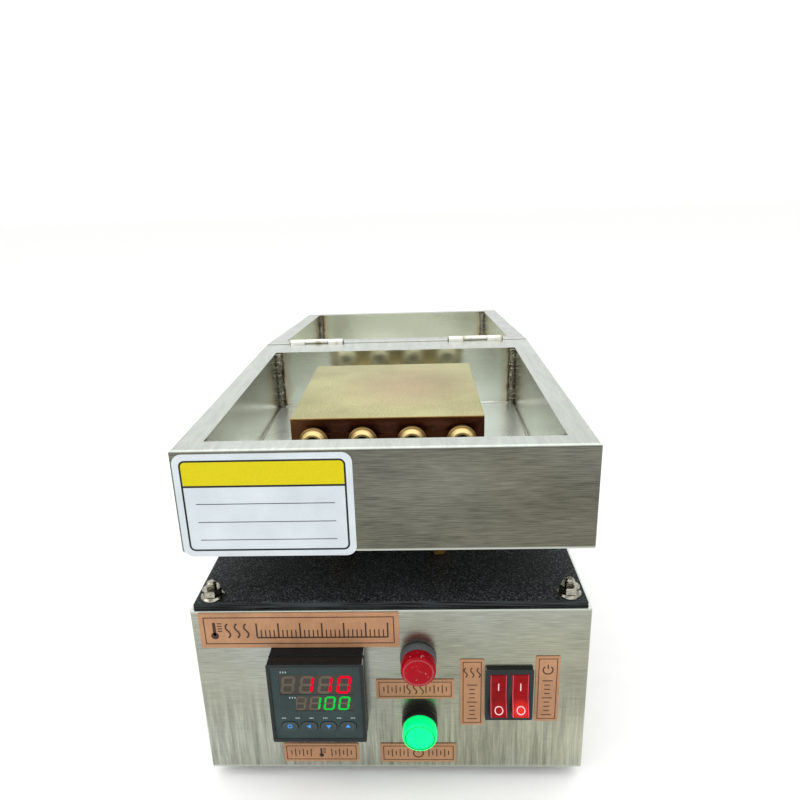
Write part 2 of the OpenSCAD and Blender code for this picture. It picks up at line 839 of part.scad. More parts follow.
// Bezel ring and barrel of a lamp, with a socket for the lens
module lamp_body(z, gasket) {
    difference() {
        union() {
            rod_y(lamp_x, front_y - gasket, z, lamp_d / 2 - 0.15, gasket);
            translate([lamp_x, front_y - gasket, z]) rotate([90, 0, 0])
                cylinder(r1 = lamp_d / 2, r2 = lamp_d / 2 - 0.25, h = bezel_l);
            rod_y(lamp_x, front_y - 1, z, barrel_r, barrel_l);
        }
        rod_y(lamp_x, front_y - gasket - bezel_l - 1, z, lens_r - 1, bezel_l + 1);
        rod_y(lamp_x, front_y + 6, z, barrel_r - 1.5, barrel_l);
    }
}

// A drum lens with a rounded front edge, and the spigot that sits in the bezel
module lamp_lens(z, gasket) {
    edge = 1;
    y = front_y - gasket - bezel_l;
    translate([lamp_x, y, z]) rotate([90, 0, 0]) {
        rotate_extrude() {
            square([lens_r, lens_l - edge]);
            square([lens_r - edge, lens_l]);
            translate([lens_r - edge, lens_l - edge]) circle(r = edge);
        }
        translate([0, 0, -bezel_l + 0.6]) cylinder(r = lens_r - 1.3, h = bezel_l);
    }
}

module heating_lamp_body() {
    color("#7b7d80") lamp_body(shell_z + heating_lamp_z, heating_gasket);
}

module heating_lamp_lens() {
    color("#b3122a") lamp_lens(shell_z + heating_lamp_z, heating_gasket);
}

module power_lamp_body() {
    color("#2a2d2f") lamp_body(shell_z + power_lamp_z, power_gasket);
}

module power_lamp_lens() {
    color("#18d060") lamp_lens(shell_z + power_lamp_z, power_gasket);
}

module lamp_nuts() {
    color("#303335") for (z = [heating_lamp_z, power_lamp_z]) difference() {
        rod_y(lamp_x, panel_back, shell_z + z, 10, 4);
        rod_y(lamp_x, panel_back - 1, shell_z + z, barrel_r + thread_slack, 6);
    }
}

// ---- Rocker switch ----

module switch_housing() {
    color("#2c3133") difference() {
        union() {
            panel_plate(switch_x, switch_cz, switch_w, switch_h, 0.8, front_y - switch_t, front_y);
            slab_at(switch_x, switch_cz, switch_body_w, switch_body_h, front_y - 1,
                    front_y + switch_body_l);
        }
        for (s = [-1, 1]) {
            x = switch_x + s * rocker_pitch / 2;
            intersection() {
                slab_at(x, switch_cz, window_w, 40, front_y - switch_t - 1, pivot_y + 9);
                rod_x(x - 10, pivot_y, switch_cz, rocker_r + fit_gap, 20);
            }
        }
    }
}

// Side view of a rocker about its pivot: a shallow V face whose ends are round about the pivot
module rocker_side() {
    face = rocker_face;
    end = rocker_r + 2;
    hub = 4;
    intersection() {
        circle(r = rocker_r);
        polygon([[-face - tan(rocker_swing) * end, -end], [-face, 0], [-face, end], [-1, end],
                 [hub, hub + 1], [hub, -hub - 1], [-1, -end]]);
    }
}

module rocker(s) {
    x = switch_x + s * rocker_pitch / 2;
    difference() {
        translate([x - rocker_w / 2, pivot_y, switch_cz]) rotate([90, 0, 90])
            linear_extrude(rocker_w) rocker_side();
        rod_x(x - 10, pivot_y, switch_cz, pivot_r + thread_slack, 20);
    }
}

module heating_rocker() {
    color("#9c0f1e") rocker(-1);
}

module power_rocker() {
    color("#b80e1c") rocker(1);
}

// Two pivot pins and six blades
module switch_terminals() {
    color("#c9b27a") {
        for (s = [-1, 1]) {
            x = switch_x + s * rocker_pitch / 2;
            rod_x(x - window_w / 2, pivot_y, switch_cz, pivot_r, window_w);
            for (z = [-9, 0, 9])
                slab_at(x, switch_cz + z, 4.8, 0.8, front_y + switch_body_l,
                        front_y + switch_body_l + blade_out);
        }
    }
}

// ---- Labels ----

module label(l) {
    panel_plate(l[0], shell_z + l[1], l[2], l[3], 0.6, front_y - label_t, front_y);
}

module title_plate() {
    color("#b98a66") label(title_label);
}

module control_labels() {
    color("#b98a66") for (l = small_labels) label(l);
}

module chamber_sticker() {
    color("#e8edf0") panel_plate(sticker_x, sticker_z, sticker_w, sticker_h, sticker_r,
                                 chamber_y0 - sticker_t, chamber_y0);
}

// ---- Mains inlet and inside ----

module mains_inlet() {
    color("#202224") difference() {
        union() {
            panel_plate(inlet_x, inlet_z, inlet_flange_w, inlet_flange_h, 3, half,
                        half + inlet_flange_t);
            slab_at(inlet_x, inlet_z, inlet_w, inlet_h, half - inlet_l, half + 1);
        }
        slab_at(inlet_x, inlet_z, socket_w, socket_h, half + inlet_flange_t - socket_l,
                half + inlet_flange_t + 1);
        for (s = [-1, 1])
            rod_y(inlet_x + s * inlet_screw_x, half - 1, inlet_z, m3_r + hole_slack,
                  inlet_flange_t + 2);
    }
}

module inlet_pins() {
    y0 = half + inlet_flange_t - socket_l;
    color("#c9b27a") for (p = [[-7, -2, 2, 4], [0, 2, 2, 4], [7, -2, 2, 4]])
        slab_at(inlet_x + p[0], inlet_z + p[1], p[2], p[3], y0, y0 + blade_l);
}

// Fins downwards, with four bosses for the screws that come up through the bottom plate
module relay_heat_sink() {
    fin_t = 2;
    fins = 9;
    pitch = (sink_w - fin_t) / (fins - 1);
    color("#b0b3b5") difference() {
        union() {
            block_at(relay_x, relay_y, plate_z + sink_h - sink_base, sink_w, sink_w, sink_base);
            for (i = [0 : fins - 1])
                block_at(relay_x - sink_w / 2 + fin_t / 2 + i * pitch, relay_y, plate_z, fin_t,
                         sink_w, sink_h - sink_base + 1);
            for (p = sink_points)
                rod_z(p[0], p[1], plate_z, sink_boss_r, sink_h - sink_base + 1);
        }
        for (p = sink_points) rod_z(p[0], p[1], plate_z - 1, m3_r + thread_slack, m3_l + 1);
    }
}

module solid_state_relay() {
    z = plate_z + sink_h;
    color("#e2e2dc") difference() {
        block_at(relay_x, relay_y, z, relay_w, relay_d, relay_h);
        for (s = [-1, 1])
            block_at(relay_x, relay_y + s * relay_d / 2, z + relay_h - relay_step, relay_w + 1,
                     2 * relay_end, relay_step + 1);
    }
}

module terminal_strip() {
    color("#dcd8c8") difference() {
        block_at(strip_x, strip_y, plate_z, strip_w, strip_d, strip_h);
        for (p = strip_points) {
            rod_z(p[0], p[1], plate_z - 1, m3_r + hole_slack, strip_h + 2);
            rod_z(p[0], p[1], plate_z + m3_l, m3_head_r + fit_gap, strip_h);
        }
        for (i = [0 : strip_ways - 1])
            rod_z(strip_way(i), strip_y, plate_z + strip_h - m3_l, 2, m3_l + 1);
    }
}

// Wires from the strip's ways to the conduit, the inlet, the relay, the controller, the lamps
// and the switch
module wiring_loom() {
    top = plate_z + strip_h - m3_l;
    conduit_run = top + 20;
    inlet_run = inlet_z;
    relay_run = plate_z + sink_h + relay_h;
    front_run = top + 14;
    relay_end_y = relay_y + relay_d / 2 - relay_end / 2;
    relay_way = relay_x - relay_w / 4;
    front_x = 2;
    front_wire_y = front_y + 38;
    rocker_x = switch_x - rocker_pitch / 2;
    lamp_in = front_y + 20;
    color("#b23a2e") {
        wire([[strip_way(2), strip_y, top + eps], [strip_way(2), strip_y, conduit_run],
              [strip_way(2), conduit_y, conduit_run], [0, conduit_y, conduit_run],
              [0, conduit_y, bundle_top - 8]], wire_r);
        rod_z(0, conduit_y, bundle_top - 10, bundle_r, 10 - eps);
        wire([[strip_way(0), strip_y, top + eps], [strip_way(0), strip_y, inlet_run],
              [strip_way(0), half - inlet_l - eps, inlet_run]], wire_r);
        wire([[strip_way(5), strip_y, top + eps], [strip_way(5), strip_y, relay_run],
              [strip_way(5), relay_end_y, relay_run], [relay_way, relay_end_y, relay_run],
              [relay_way, relay_end_y, relay_run - relay_step + eps]], wire_r);
        wire([[strip_way(3), strip_y, top + eps], [strip_way(3), strip_y, front_run],
              [strip_way(3), 0, front_run], [front_x, 0, front_run],
              [front_x, front_wire_y, front_run], [front_x, front_wire_y, switch_cz],
              [rocker_x, front_wire_y, switch_cz],
              [rocker_x, front_y + switch_body_l + blade_out + eps, switch_cz]], wire_r);
        wire([[front_x, front_wire_y, shell_z + power_lamp_z],
              [lamp_x, front_wire_y, shell_z + power_lamp_z],
              [lamp_x, lamp_in, shell_z + power_lamp_z]], lead_r);
        wire([[lamp_x, front_wire_y, switch_cz],
              [lamp_x, front_wire_y, shell_z + heating_lamp_z],
              [lamp_x, lamp_in, shell_z + heating_lamp_z]], lead_r);
        wire([[strip_way(3), 0, front_run], [strip_way(3), 0, meter_cz],
              [strip_way(3), front_y + meter_body_l + eps, meter_cz]], lead_r);
    }
}

cabinet_shell();
bottom_plate();
rubber_feet();
foot_screws();
m3_screws();
insulation_board();
board_studs();
stud_flange_nuts();
stud_lower_nuts();
chamber_pillars();
pillar_screws();
wire_conduit();
chamber_shell();
chamber_floor();
chamber_base();
chamber_insulation();
chamber_weld_beads();
heating_block();
front_bushes();
rear_bushes();
heater_plate();
cartridge_heaters();
temperature_probe();
block_bolts();
heater_leads();
lid_shell();
lid_liner();
lid_insulation();
lid_weld_beads();
chamber_hinge_leaves();
lid_hinge_leaves();
hinge_pins();
controller_case();
controller_face();
controller_windows();
display_board();
mode_key();
shift_key();
down_key();
up_key();
controller_clip();
heating_lamp_body();
heating_lamp_lens();
power_lamp_body();
power_lamp_lens();
lamp_nuts();
switch_housing();
switch_terminals();
heating_rocker();
power_rocker();
title_plate();
control_labels();
chamber_sticker();
mains_inlet();
inlet_pins();
solid_state_relay();
relay_heat_sink();
terminal_strip();
wiring_loom();
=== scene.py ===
"""A stainless bench block heater: a cabinet with its controls, and a lidded, insulated chamber
with a brass block. The CAD frame gives every place and size, and this file gives the finishes
and the fine shapes."""

import json
import math

import bmesh
import bpy
from mathutils import Matrix, Vector, noise


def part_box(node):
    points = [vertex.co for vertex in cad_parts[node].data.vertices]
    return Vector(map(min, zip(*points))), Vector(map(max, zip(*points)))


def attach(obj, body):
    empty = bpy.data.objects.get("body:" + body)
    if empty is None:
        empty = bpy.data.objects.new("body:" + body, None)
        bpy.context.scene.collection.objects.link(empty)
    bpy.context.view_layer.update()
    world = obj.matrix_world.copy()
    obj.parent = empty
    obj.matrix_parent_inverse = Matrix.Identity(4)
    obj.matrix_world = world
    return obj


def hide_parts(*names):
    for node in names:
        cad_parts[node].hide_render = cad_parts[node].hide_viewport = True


bl_info = {
    "name": "Block Heater Finishes",
    "version": (1, 0, 0),
    "blender": (4, 5, 0),
    "location": "3D View > Sidebar > Block Heater",
    "description": "Finishes and fine shapes for a stainless bench block heater",
    "category": "Object",
}

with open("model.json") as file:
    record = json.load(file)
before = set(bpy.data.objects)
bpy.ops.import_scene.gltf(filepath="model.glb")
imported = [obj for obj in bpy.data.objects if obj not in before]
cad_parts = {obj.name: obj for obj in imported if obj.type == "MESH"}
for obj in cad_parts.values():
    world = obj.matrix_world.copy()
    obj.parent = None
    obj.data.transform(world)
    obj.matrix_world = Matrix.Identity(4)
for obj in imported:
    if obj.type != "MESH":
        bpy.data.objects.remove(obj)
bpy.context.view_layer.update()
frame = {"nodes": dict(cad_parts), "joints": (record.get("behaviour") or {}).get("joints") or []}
NODES = frame["nodes"]
JOINTS = {joint["name"]: joint for joint in frame["joints"]}

MM = 0.001
# how far the weld beads stop below a rim
BEAD_STOP = 0.8 * MM
Y, Z = Vector((0, 1, 0)), Vector((0, 0, 1))

HINGE = Vector(JOINTS["lid_hinge"]["pos_m"])
LEAN = math.radians(JOINTS["lid_hinge"]["range_deg"][1] - 180)
LID_PLACE = Matrix.Translation(HINGE) @ Matrix.Rotation(-LEAN, 4, "X")


def linear(hex_colour):
    """A colour as sRGB hex, turned to the linear values that shaders use."""
    parts = [int(hex_colour[i : i + 2], 16) / 255 for i in (1, 3, 5)]
    return [p / 12.92 if p <= 0.04045 else ((p + 0.055) / 1.055) ** 2.4 for p in parts]


# ---- Settings ----


def colour_setting(label, text, hex_colour):
    """A colour that a user can change."""
    return bpy.props.FloatVectorProperty(
        name=label, description=text, subtype="COLOR", size=3, min=0, max=1,
        default=linear(hex_colour),
    )


def length_setting(label, text, metres):
    """A length that a user can change."""
    return bpy.props.FloatProperty(
        name=label, description=text, default=metres, min=0, unit="LENGTH", precision=5
    )


class HeaterColours(bpy.types.PropertyGroup):
    """Colours of the heater's finishes."""

    outer_steel: colour_setting("Outer steel", "Brushed faces of the cabinet and lid", "#949892")
    chamber_steel: colour_setting("Chamber steel", "Brushed outer faces of the chamber", "#63635a")
    rim_steel: colour_setting("Rim steel", "Flat rims of the chamber and the lid", "#bfc5bd")
    inner_steel: colour_setting("Inner steel", "Walls and floor inside the chamber and the lid", "#e8ebe0")
    board: colour_setting("Board", "Insulation board between cabinet and chamber", "#070808")
    block_top: colour_setting("Block top", "Top of the brass block", "#aaa67e")
    block_side: colour_setting("Block sides", "Heat-toned sides of the brass block", "#4c271a")
    bush: colour_setting("Bushes", "Turned brass bushes in the wells", "#dcc48a")
    copper_print: colour_setting("Labels", "Copper-toned laminate of the labels", "#a87c5a")
    ink: colour_setting("Ink", "Printed lines on the labels", "#3a2a22")
    film: colour_setting("Sticker", "Film of the chamber's sticker", "#c3ccd1")
    band: colour_setting("Sticker band", "Band along the top of the chamber's sticker", "#cdbf06")
    red_lens: colour_setting("Red lens", "Lens of the heating lamp", "#980014")
    green_lens: colour_setting("Green lens", "Lens of the power lamp", "#00d069")
    rocker: colour_setting("Rockers", "Clear red rockers of the switch", "#7c0009")
    meter: colour_setting("Controller", "Moulded case of the controller", "#101416")
    meter_face: colour_setting("Controller face", "Printed film on the controller's front", "#273837")
    red_digit: colour_setting("Red digits", "Lit segments of the upper display", "#f2082e")
    green_digit: colour_setting("Green digits", "Lit segments of the lower display", "#10d848")


class HeaterSizes(bpy.types.PropertyGroup):
    """Fine sizes that the CAD frame doesn't hold."""

    board_chamfer: length_setting("Board chamfer", "Chamfer along the board's upper edges", 1.1 * MM)
    block_edge: length_setting("Block edge", "Rounding of the brass block's edges", 0.3 * MM)
    moulded_edge: length_setting("Moulded edge", "Rounding of moulded plastic edges", 0.35 * MM)
    bead_radius: length_setting("Weld bead", "Radius of the weld beads in the corners", 3.0 * MM)
    seam_radius: length_setting("Floor seam", "Rounding where walls meet a floor", 1.1 * MM)
    thread_pitch: length_setting("Thread pitch", "Pitch of the studs' threads", 0.8 * MM)
    thread_depth: length_setting("Thread depth", "Depth of the studs' threads", 0.45 * MM)
    nut_radius: length_setting("Nut", "Distance from a nut's middle to its corners", 5.0 * MM)
    well_radius: length_setting("Well", "Radius of the bore in a bush", 4.1 * MM)
    bush_radius: length_setting("Bush", "Radius of the part of a bush that sits in the block", 6.0 * MM)
    drum_length: length_setting("Lens", "How far a lamp's lens stands out of its bezel", 6.4 * MM)
    dish: length_setting("Key dish", "Depth of the hollow in a controller key", 0.25 * MM)
    print_thickness: length_setting("Print", "Thickness of printed lines", 0.05 * MM)


class HeaterStage(bpy.types.PropertyGroup):
    """The floor, light and camera."""

    floor_size: length_setting("Floor", "Width of the floor", 14.0)
    top_light: bpy.props.FloatProperty(
        name="Top light", description="Power of the overhead softbox", default=14.0, min=0, unit="POWER",
    )
    side_light: bpy.props.FloatProperty(
        name="Side light", description="Power of the softbox at the left", default=3.0, min=0,
        unit="POWER",
    )
    sky: bpy.props.FloatProperty(
        name="Surroundings", description="Strength of the even light all round", default=1.06, min=0,
    )
    camera_lens: bpy.props.FloatProperty(
        name="Lens", description="Focal length on a 36 mm sensor", default=28.8, min=1, unit="CAMERA",
    )


# ---- Mesh helpers ----


def solids(node):
    """The lowest and highest corner of each separate solid of a CAD node, from left to right."""
    bm = bmesh.new()
    bm.from_mesh(NODES[node].data)
    bmesh.ops.remove_doubles(bm, verts=bm.verts[:], dist=1e-6)
    left = set(bm.verts)
    boxes = []
    while left:
        reached = {left.pop()}
        edge_of_search = list(reached)
        while edge_of_search:
            vert = edge_of_search.pop()
            for near in (e.other_vert(vert) for e in vert.link_edges):
                if near in left:
                    left.discard(near)
                    reached.add(near)
                    edge_of_search.append(near)
        axes = list(zip(*(v.co for v in reached)))
        boxes.append((Vector(map(min, axes)), Vector(map(max, axes))))
    bm.free()
    return sorted(boxes, key=lambda b: (round(b[0].x, 4), round(b[0].y, 4), b[0].z))


def middle(box):
    """The middle of a pair of corners."""
    return (box[0] + box[1]) / 2


def bevelled(bm, edges, offset, segments=2):
    """Rounds edges, by less where they would overlap."""
    bmesh.ops.bevel(
        bm, geom=list(edges), offset=offset, offset_type="OFFSET", segments=segments,
        profile=0.5, affect="EDGES", clamp_overlap=True, material=-1,
    )


def join(bm, part, place=None):
    """Adds one bmesh to another in its place, and frees it."""
    if place is not None:
        bmesh.ops.transform(part, matrix=place, verts=part.verts[:])
    mesh = bpy.data.meshes.new("part")
    part.to_mesh(mesh)
    part.free()
    bm.from_mesh(mesh)
    bpy.data.meshes.remove(mesh)


def slab(bm, low, high, ease=0.0, segments=2, along=None, place=None):
    """A block between two corners. Its edges are rounded, or only those along one direction."""
    low, high = Vector(low), Vector(high)
    part = bmesh.new()
    bmesh.ops.create_cube(
        part, size=1, matrix=Matrix.Translation((low + high) / 2) @ Matrix.Diagonal((*(high - low), 1)),
    )
    if ease:
        edges = part.edges[:]
        if along is not None:
            edges = [e for e in edges if abs((e.verts[0].co - e.verts[1].co).normalized().dot(along)) > 0.9]
        bevelled(part, edges, ease, segments)
    join(bm, part, place)


def turned(bm, profile, centre, axis, steps=48, bored=False):
    """Turns (radius, distance) points about an axis. A bored profile is a closed ring."""
    part = bmesh.new()
    side = axis.orthogonal().normalized()
    ring = [part.verts.new(Vector(centre) + side * r + axis * d) for r, d in profile]
    pairs = list(zip(ring, ring[1:])) + ([(ring[-1], ring[0])] if bored else [])
    bmesh.ops.spin(
        part, geom=ring + [part.edges.new(p) for p in pairs], cent=centre, axis=axis,
        dvec=(0, 0, 0), angle=math.tau, steps=steps, use_merge=True,
    )
    bmesh.ops.remove_doubles(part, verts=part.verts[:], dist=1e-7)
    join(bm, part)


def hexagon(bm, centre, radius, height, chamfer, base=True):
    """An upright hexagon bar, chamfered round the top only or round both ends."""
    part = bmesh.new()
    bmesh.ops.create_cone(part, cap_ends=True, segments=6, radius1=radius, radius2=radius, depth=height)
    ends = [
        e
        for e in part.edges
        if abs(e.verts[0].co.z - e.verts[1].co.z) < 0.1 * MM and (base or e.verts[0].co.z > 0)
    ]
    bevelled(part, ends, chamfer, 1)
    join(bm, part, Matrix.Translation(centre) @ Matrix.Rotation(math.pi / 6, 4, "Z"))


def bar(bm, start, end, width, depth, tip=0.45, shear=None):
    """A flat bar on an upright front, between two points, with its ends tapered."""
    run = Vector(end) - Vector(start)
    half = Vector((run.length / 2, depth / 2, width / 2))
    place = Matrix.Translation(
        (Vector(start) + Vector(end)) / 2
    ) @ Matrix.Rotation(-math.atan2(run.z, run.x), 4, "Y")
    slab(bm, -half, half, tip * min(width, run.length), 1, Y, place if shear is None else shear @ place)


def printed_frame(bm, low, high, width, radius):
    """A thin rectangular outline with round corners, in the plane of an upright front."""
    part = bmesh.new()
    slab(part, low, high, radius, 6, Y)
    faces = [f for f in part.faces if abs(f.normal.y) > 0.9]
    bmesh.ops.inset_individual(part, faces=faces, thickness=width, use_even_offset=True)
    edges = [e for f in faces for e in f.edges]
    bmesh.ops.delete(part, geom=faces, context="FACES_ONLY")
    bmesh.ops.bridge_loops(part, edges=edges)
    join(bm, part)


def make_piece(name, bm, material, body, replaced=(), smooth=35):
    """Turns a bmesh into a piece that rides on a body."""
    bmesh.ops.recalc_face_normals(bm, faces=bm.faces[:])
    mesh = bpy.data.meshes.new(name)
    bm.to_mesh(mesh)
    bm.free()
    mesh.materials.append(material)
    mesh.shade_smooth()
    mesh.set_sharp_from_angle(angle=math.radians(smooth))
    piece = bpy.data.objects.new(name, mesh)
    bpy.context.scene.collection.objects.link(piece)
    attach(piece, body)
    if replaced:
        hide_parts(*replaced)
    return piece


def eased_copy(name, node, material, body, ease, pick=lambda edge: True, segments=2):
    """A copy of a CAD node with its sharp edges rounded, which stands for the node."""
    bm = bmesh.new()
    bm.from_mesh(NODES[node].data)
    bmesh.ops.remove_doubles(bm, verts=bm.verts[:], dist=1e-6)
    bmesh.ops.dissolve_limit(bm, angle_limit=math.radians(1), verts=bm.verts[:], edges=bm.edges[:])
    sharp = [
        e
        for e in bm.edges
        if len(e.link_faces) == 2 and e.calc_face_angle(0) > math.radians(32) and pick(e)
    ]
    bevelled(bm, sharp, ease, segments)
    return make_piece(name, bm, material, body, [node])


def dress(material, *names):
    """Gives CAD nodes a finish."""
    for name in names:
        NODES[name].data.materials.clear()
        NODES[name].data.materials.append(material)


# ---- Material helpers ----


def add(tree, kind, inputs=None, **settings):
    """Adds a node with its settings, its values and its links. Inputs go by name, or by number
    where names repeat: a Mix is 0 factor, 2 and 3 numbers, 6 and 7 colours, and a MapRange is
    0 value, 1 and 2 the range it comes from, 3 and 4 the range it goes to."""
    node = tree.nodes.new("ShaderNode" + kind)
    for name, value in settings.items():
        setattr(node, name, value)
    for key, value in (inputs or {}).items():
        if isinstance(value, bpy.types.NodeSocket):
            tree.links.new(value, node.inputs[key])
        else:
            node.inputs[key].default_value = value
    return node


def new_finish(name):
    """An empty finish: its material, its node tree and its object coordinates."""
    material = bpy.data.materials.new(name)
    material.use_nodes = True
    tree = material.node_tree
    tree.nodes.clear()
    return material, tree, add(tree, "TexCoord")


def finished(material, inputs):
    """Ends a finish with its shader, which holds the constants and takes the patterns."""
    tree = material.node_tree
    shader = add(tree, "BsdfPrincipled", inputs)
    add(tree, "OutputMaterial", {"Surface": shader.outputs[0]})
    return material


def rgba(colour, gain=1.0):
    """A colour with its alpha, made lighter or darker."""
    return [min(1.0, c * gain) for c in colour] + [1.0]


def inside_box(tree, place, low, high):
    """1 inside a box, 0 outside."""
    centre = (Vector(low) + Vector(high)) / 2
    half = (Vector(high) - Vector(low)) / 2
    away = add(tree, "VectorMath", {0: place, 1: centre}, operation="SUBTRACT").outputs[0]
    away = add(tree, "VectorMath", {0: away}, operation="ABSOLUTE").outputs[0]
    away = add(tree, "VectorMath", {0: away, 1: half}, operation="SUBTRACT").outputs[0]
    parts = add(tree, "SeparateXYZ", {0: away}).outputs
    most = add(tree, "Math", {0: parts[0], 1: parts[1]}, operation="MAXIMUM").outputs[0]
    most = add(tree, "Math", {0: most, 1: parts[2]}, operation="MAXIMUM").outputs[0]
    return add(tree, "Math", {0: most, 1: 0.0}, operation="LESS_THAN").outputs[0]


# ---- Finishes ----


def brushed_stainless(name, outer, rim, contrast, inner=None, well=None, turn=None, reflection_streak_heights=None, fold_highlight_heights=()):
    """Brushed 304 stainless sheet. The belt leaves fine level lines, so upright faces look
    silky, and reflections spread up and down. Upright streak marks near the bench are painted
    reflections of the floor. Level faces such as the rims are only wiped, and their lighter colour
    is painted light; a bright line along each folded edge is a painted highlight. Inside a well
    the sheet is as rolled, smooth and slightly wavy, and the weld heat leaves straw and brown
    tones in its corners."""
    material, tree, coords = new_finish(name)
    place = coords.outputs["Object"]
    facing = coords.outputs["Normal"]
    if turn is not None:
        place = add(tree, "Mapping", {"Vector": place, "Location": turn[0], "Rotation": turn[1]}).outputs[0]
        facing = add(tree, "Mapping", {"Vector": facing, "Rotation": turn[1]}).outputs[0]
    # brush lines 0.45 mm apart and about 12 mm long, coarser than the real ones so that they show
    stretched = add(tree, "Mapping", {"Vector": place, "Scale": (80, 80, 2200)}).outputs[0]
    grain = add(
        tree, "TexNoise", {"Vector": stretched, "Scale": 1.0, "Detail": 2, "Roughness": 0.6},
    ).outputs[0]
    stretched = add(tree, "Mapping", {"Vector": place, "Scale": (9, 9, 28)}).outputs[0]
    cloud = add(
        tree, "TexNoise", {"Vector": stretched, "Scale": 1.0, "Detail": 3, "Roughness": 0.5},
    ).outputs[0]
    both = add(tree, "Math", {0: cloud, 1: 0.8, 2: grain}, operation="MULTIPLY_ADD").outputs[0]
    shade = add(tree, "MapRange", {0: both, 1: 0.6, 2: 1.2, 3: 0.0, 4: 1.0}).outputs[0]
    if reflection_streak_heights is not None:
        # painted reflection: upright streak marks about 3 mm wide and 60 mm long, strongest low down
        stretched = add(tree, "Mapping", {"Vector": place, "Scale": (330, 330, 16)}).outputs[0]
        streak_reflection = add(
            tree, "TexNoise", {"Vector": stretched, "Scale": 1.0, "Detail": 5, "Roughness": 0.78},
        ).outputs[0]
        streak_reflection = add(tree, "MapRange", {0: streak_reflection, 1: 0.34, 2: 0.7, 3: 0.0, 4: 1.0}).outputs[0]
        height = add(tree, "SeparateXYZ", {0: place}).outputs[2]
        part = add(tree, "MapRange", {0: height, 1: reflection_streak_heights[0], 2: reflection_streak_heights[1], 3: 0.8, 4: 0.0}).outputs[0]
        measure = add(tree, "Math", {0: streak_reflection, 1: 2.2, 2: -0.1}, operation="MULTIPLY_ADD").outputs[0]
        shade = add(tree, "Mix", {0: part, 2: shade, 3: measure}).outputs[0]
    upright = add(
        tree, "Mix", {0: shade, 6: rgba(outer, 1 - contrast), 7: rgba(outer, 1 + contrast)},
        data_type="RGBA", clamp_factor=False,
    ).outputs[2]
    # patches that age has warmed a little
    mottling = add(
        tree, "TexNoise", {"Vector": place, "Scale": 7, "Detail": 2, "Roughness": 0.5},
    ).outputs[0]
    warm = add(tree, "MapRange", {0: mottling, 1: 0.4, 2: 0.6, 3: 0.0, 4: 1.0}).outputs[0]
    upright = add(
        tree, "Mix", {0: warm, 6: upright, 7: (0.93, 0.9, 0.76, 1.0)}, data_type="RGBA",
        blend_type="MULTIPLY",
    ).outputs[2]
    # painted highlight: a bright line in the rim colour along each folded edge
    for highlight_height in fold_highlight_heights:
        along = add(tree, "SeparateXYZ", {0: place}).outputs[2]
        rise = add(tree, "Math", {0: along, 1: highlight_height}, operation="SUBTRACT").outputs[0]
        rise = add(tree, "Math", {0: rise}, operation="ABSOLUTE").outputs[0]
        amount = add(tree, "MapRange", {0: rise, 1: 0.5 * MM, 2: 1.3 * MM, 3: 0.75, 4: 0.0}).outputs[0]
        upright = add(tree, "Mix", {0: amount, 6: upright, 7: rgba(rim)}, data_type="RGBA").outputs[2]
    # wiping marks 4 mm wide and 25 mm long
    stretched = add(tree, "Mapping", {"Vector": place, "Scale": (260, 40, 260)}).outputs[0]
    wipe = add(
        tree, "TexNoise", {"Vector": stretched, "Scale": 1.0, "Detail": 5, "Roughness": 0.7},
    ).outputs[0]
    amount = add(tree, "MapRange", {0: wipe, 1: 0.3, 2: 0.7, 3: 0.0, 4: 1.0}).outputs[0]
    # painted light: level faces such as the rims get the lighter rim colour, while upright faces of the
    # same sheet keep the darker brushed colour; the wiping marks on them are their own
    flat = add(tree, "Mix", {0: amount, 6: rgba(rim, 0.86), 7: rgba(rim, 1.1)}, data_type="RGBA").outputs[2]
    level = add(tree, "SeparateXYZ", {0: facing}).outputs[2]
    measure = add(tree, "Math", {0: level}, operation="ABSOLUTE").outputs[0]
    level = add(tree, "MapRange", {0: measure, 1: 0.45, 2: 0.8, 3: 0.0, 4: 1.0}).outputs[0]
    colour = add(tree, "Mix", {0: level, 6: upright, 7: flat}, data_type="RGBA").outputs[2]
    rough = add(tree, "MapRange", {0: both, 1: 0.6, 2: 1.2, 3: 0.3, 4: 0.17}).outputs[0]
    if well is not None:
        low, high, radius = well
        within = inside_box(tree, place, low, high)
        stretched = add(tree, "Mapping", {"Vector": place, "Scale": (14, 14, 20)}).outputs[0]
        wave = add(
            tree, "TexNoise", {"Vector": stretched, "Scale": 1.0, "Detail": 2, "Roughness": 0.5},
        ).outputs[0]
        amount = add(tree, "MapRange", {0: wave, 1: 0.3, 2: 0.7, 3: 0.0, 4: 1.0}).outputs[0]
        rolled = add(
            tree, "Mix", {0: amount, 6: rgba(inner, 0.88), 7: rgba(inner, 1.06)}, data_type="RGBA",
        ).outputs[2]
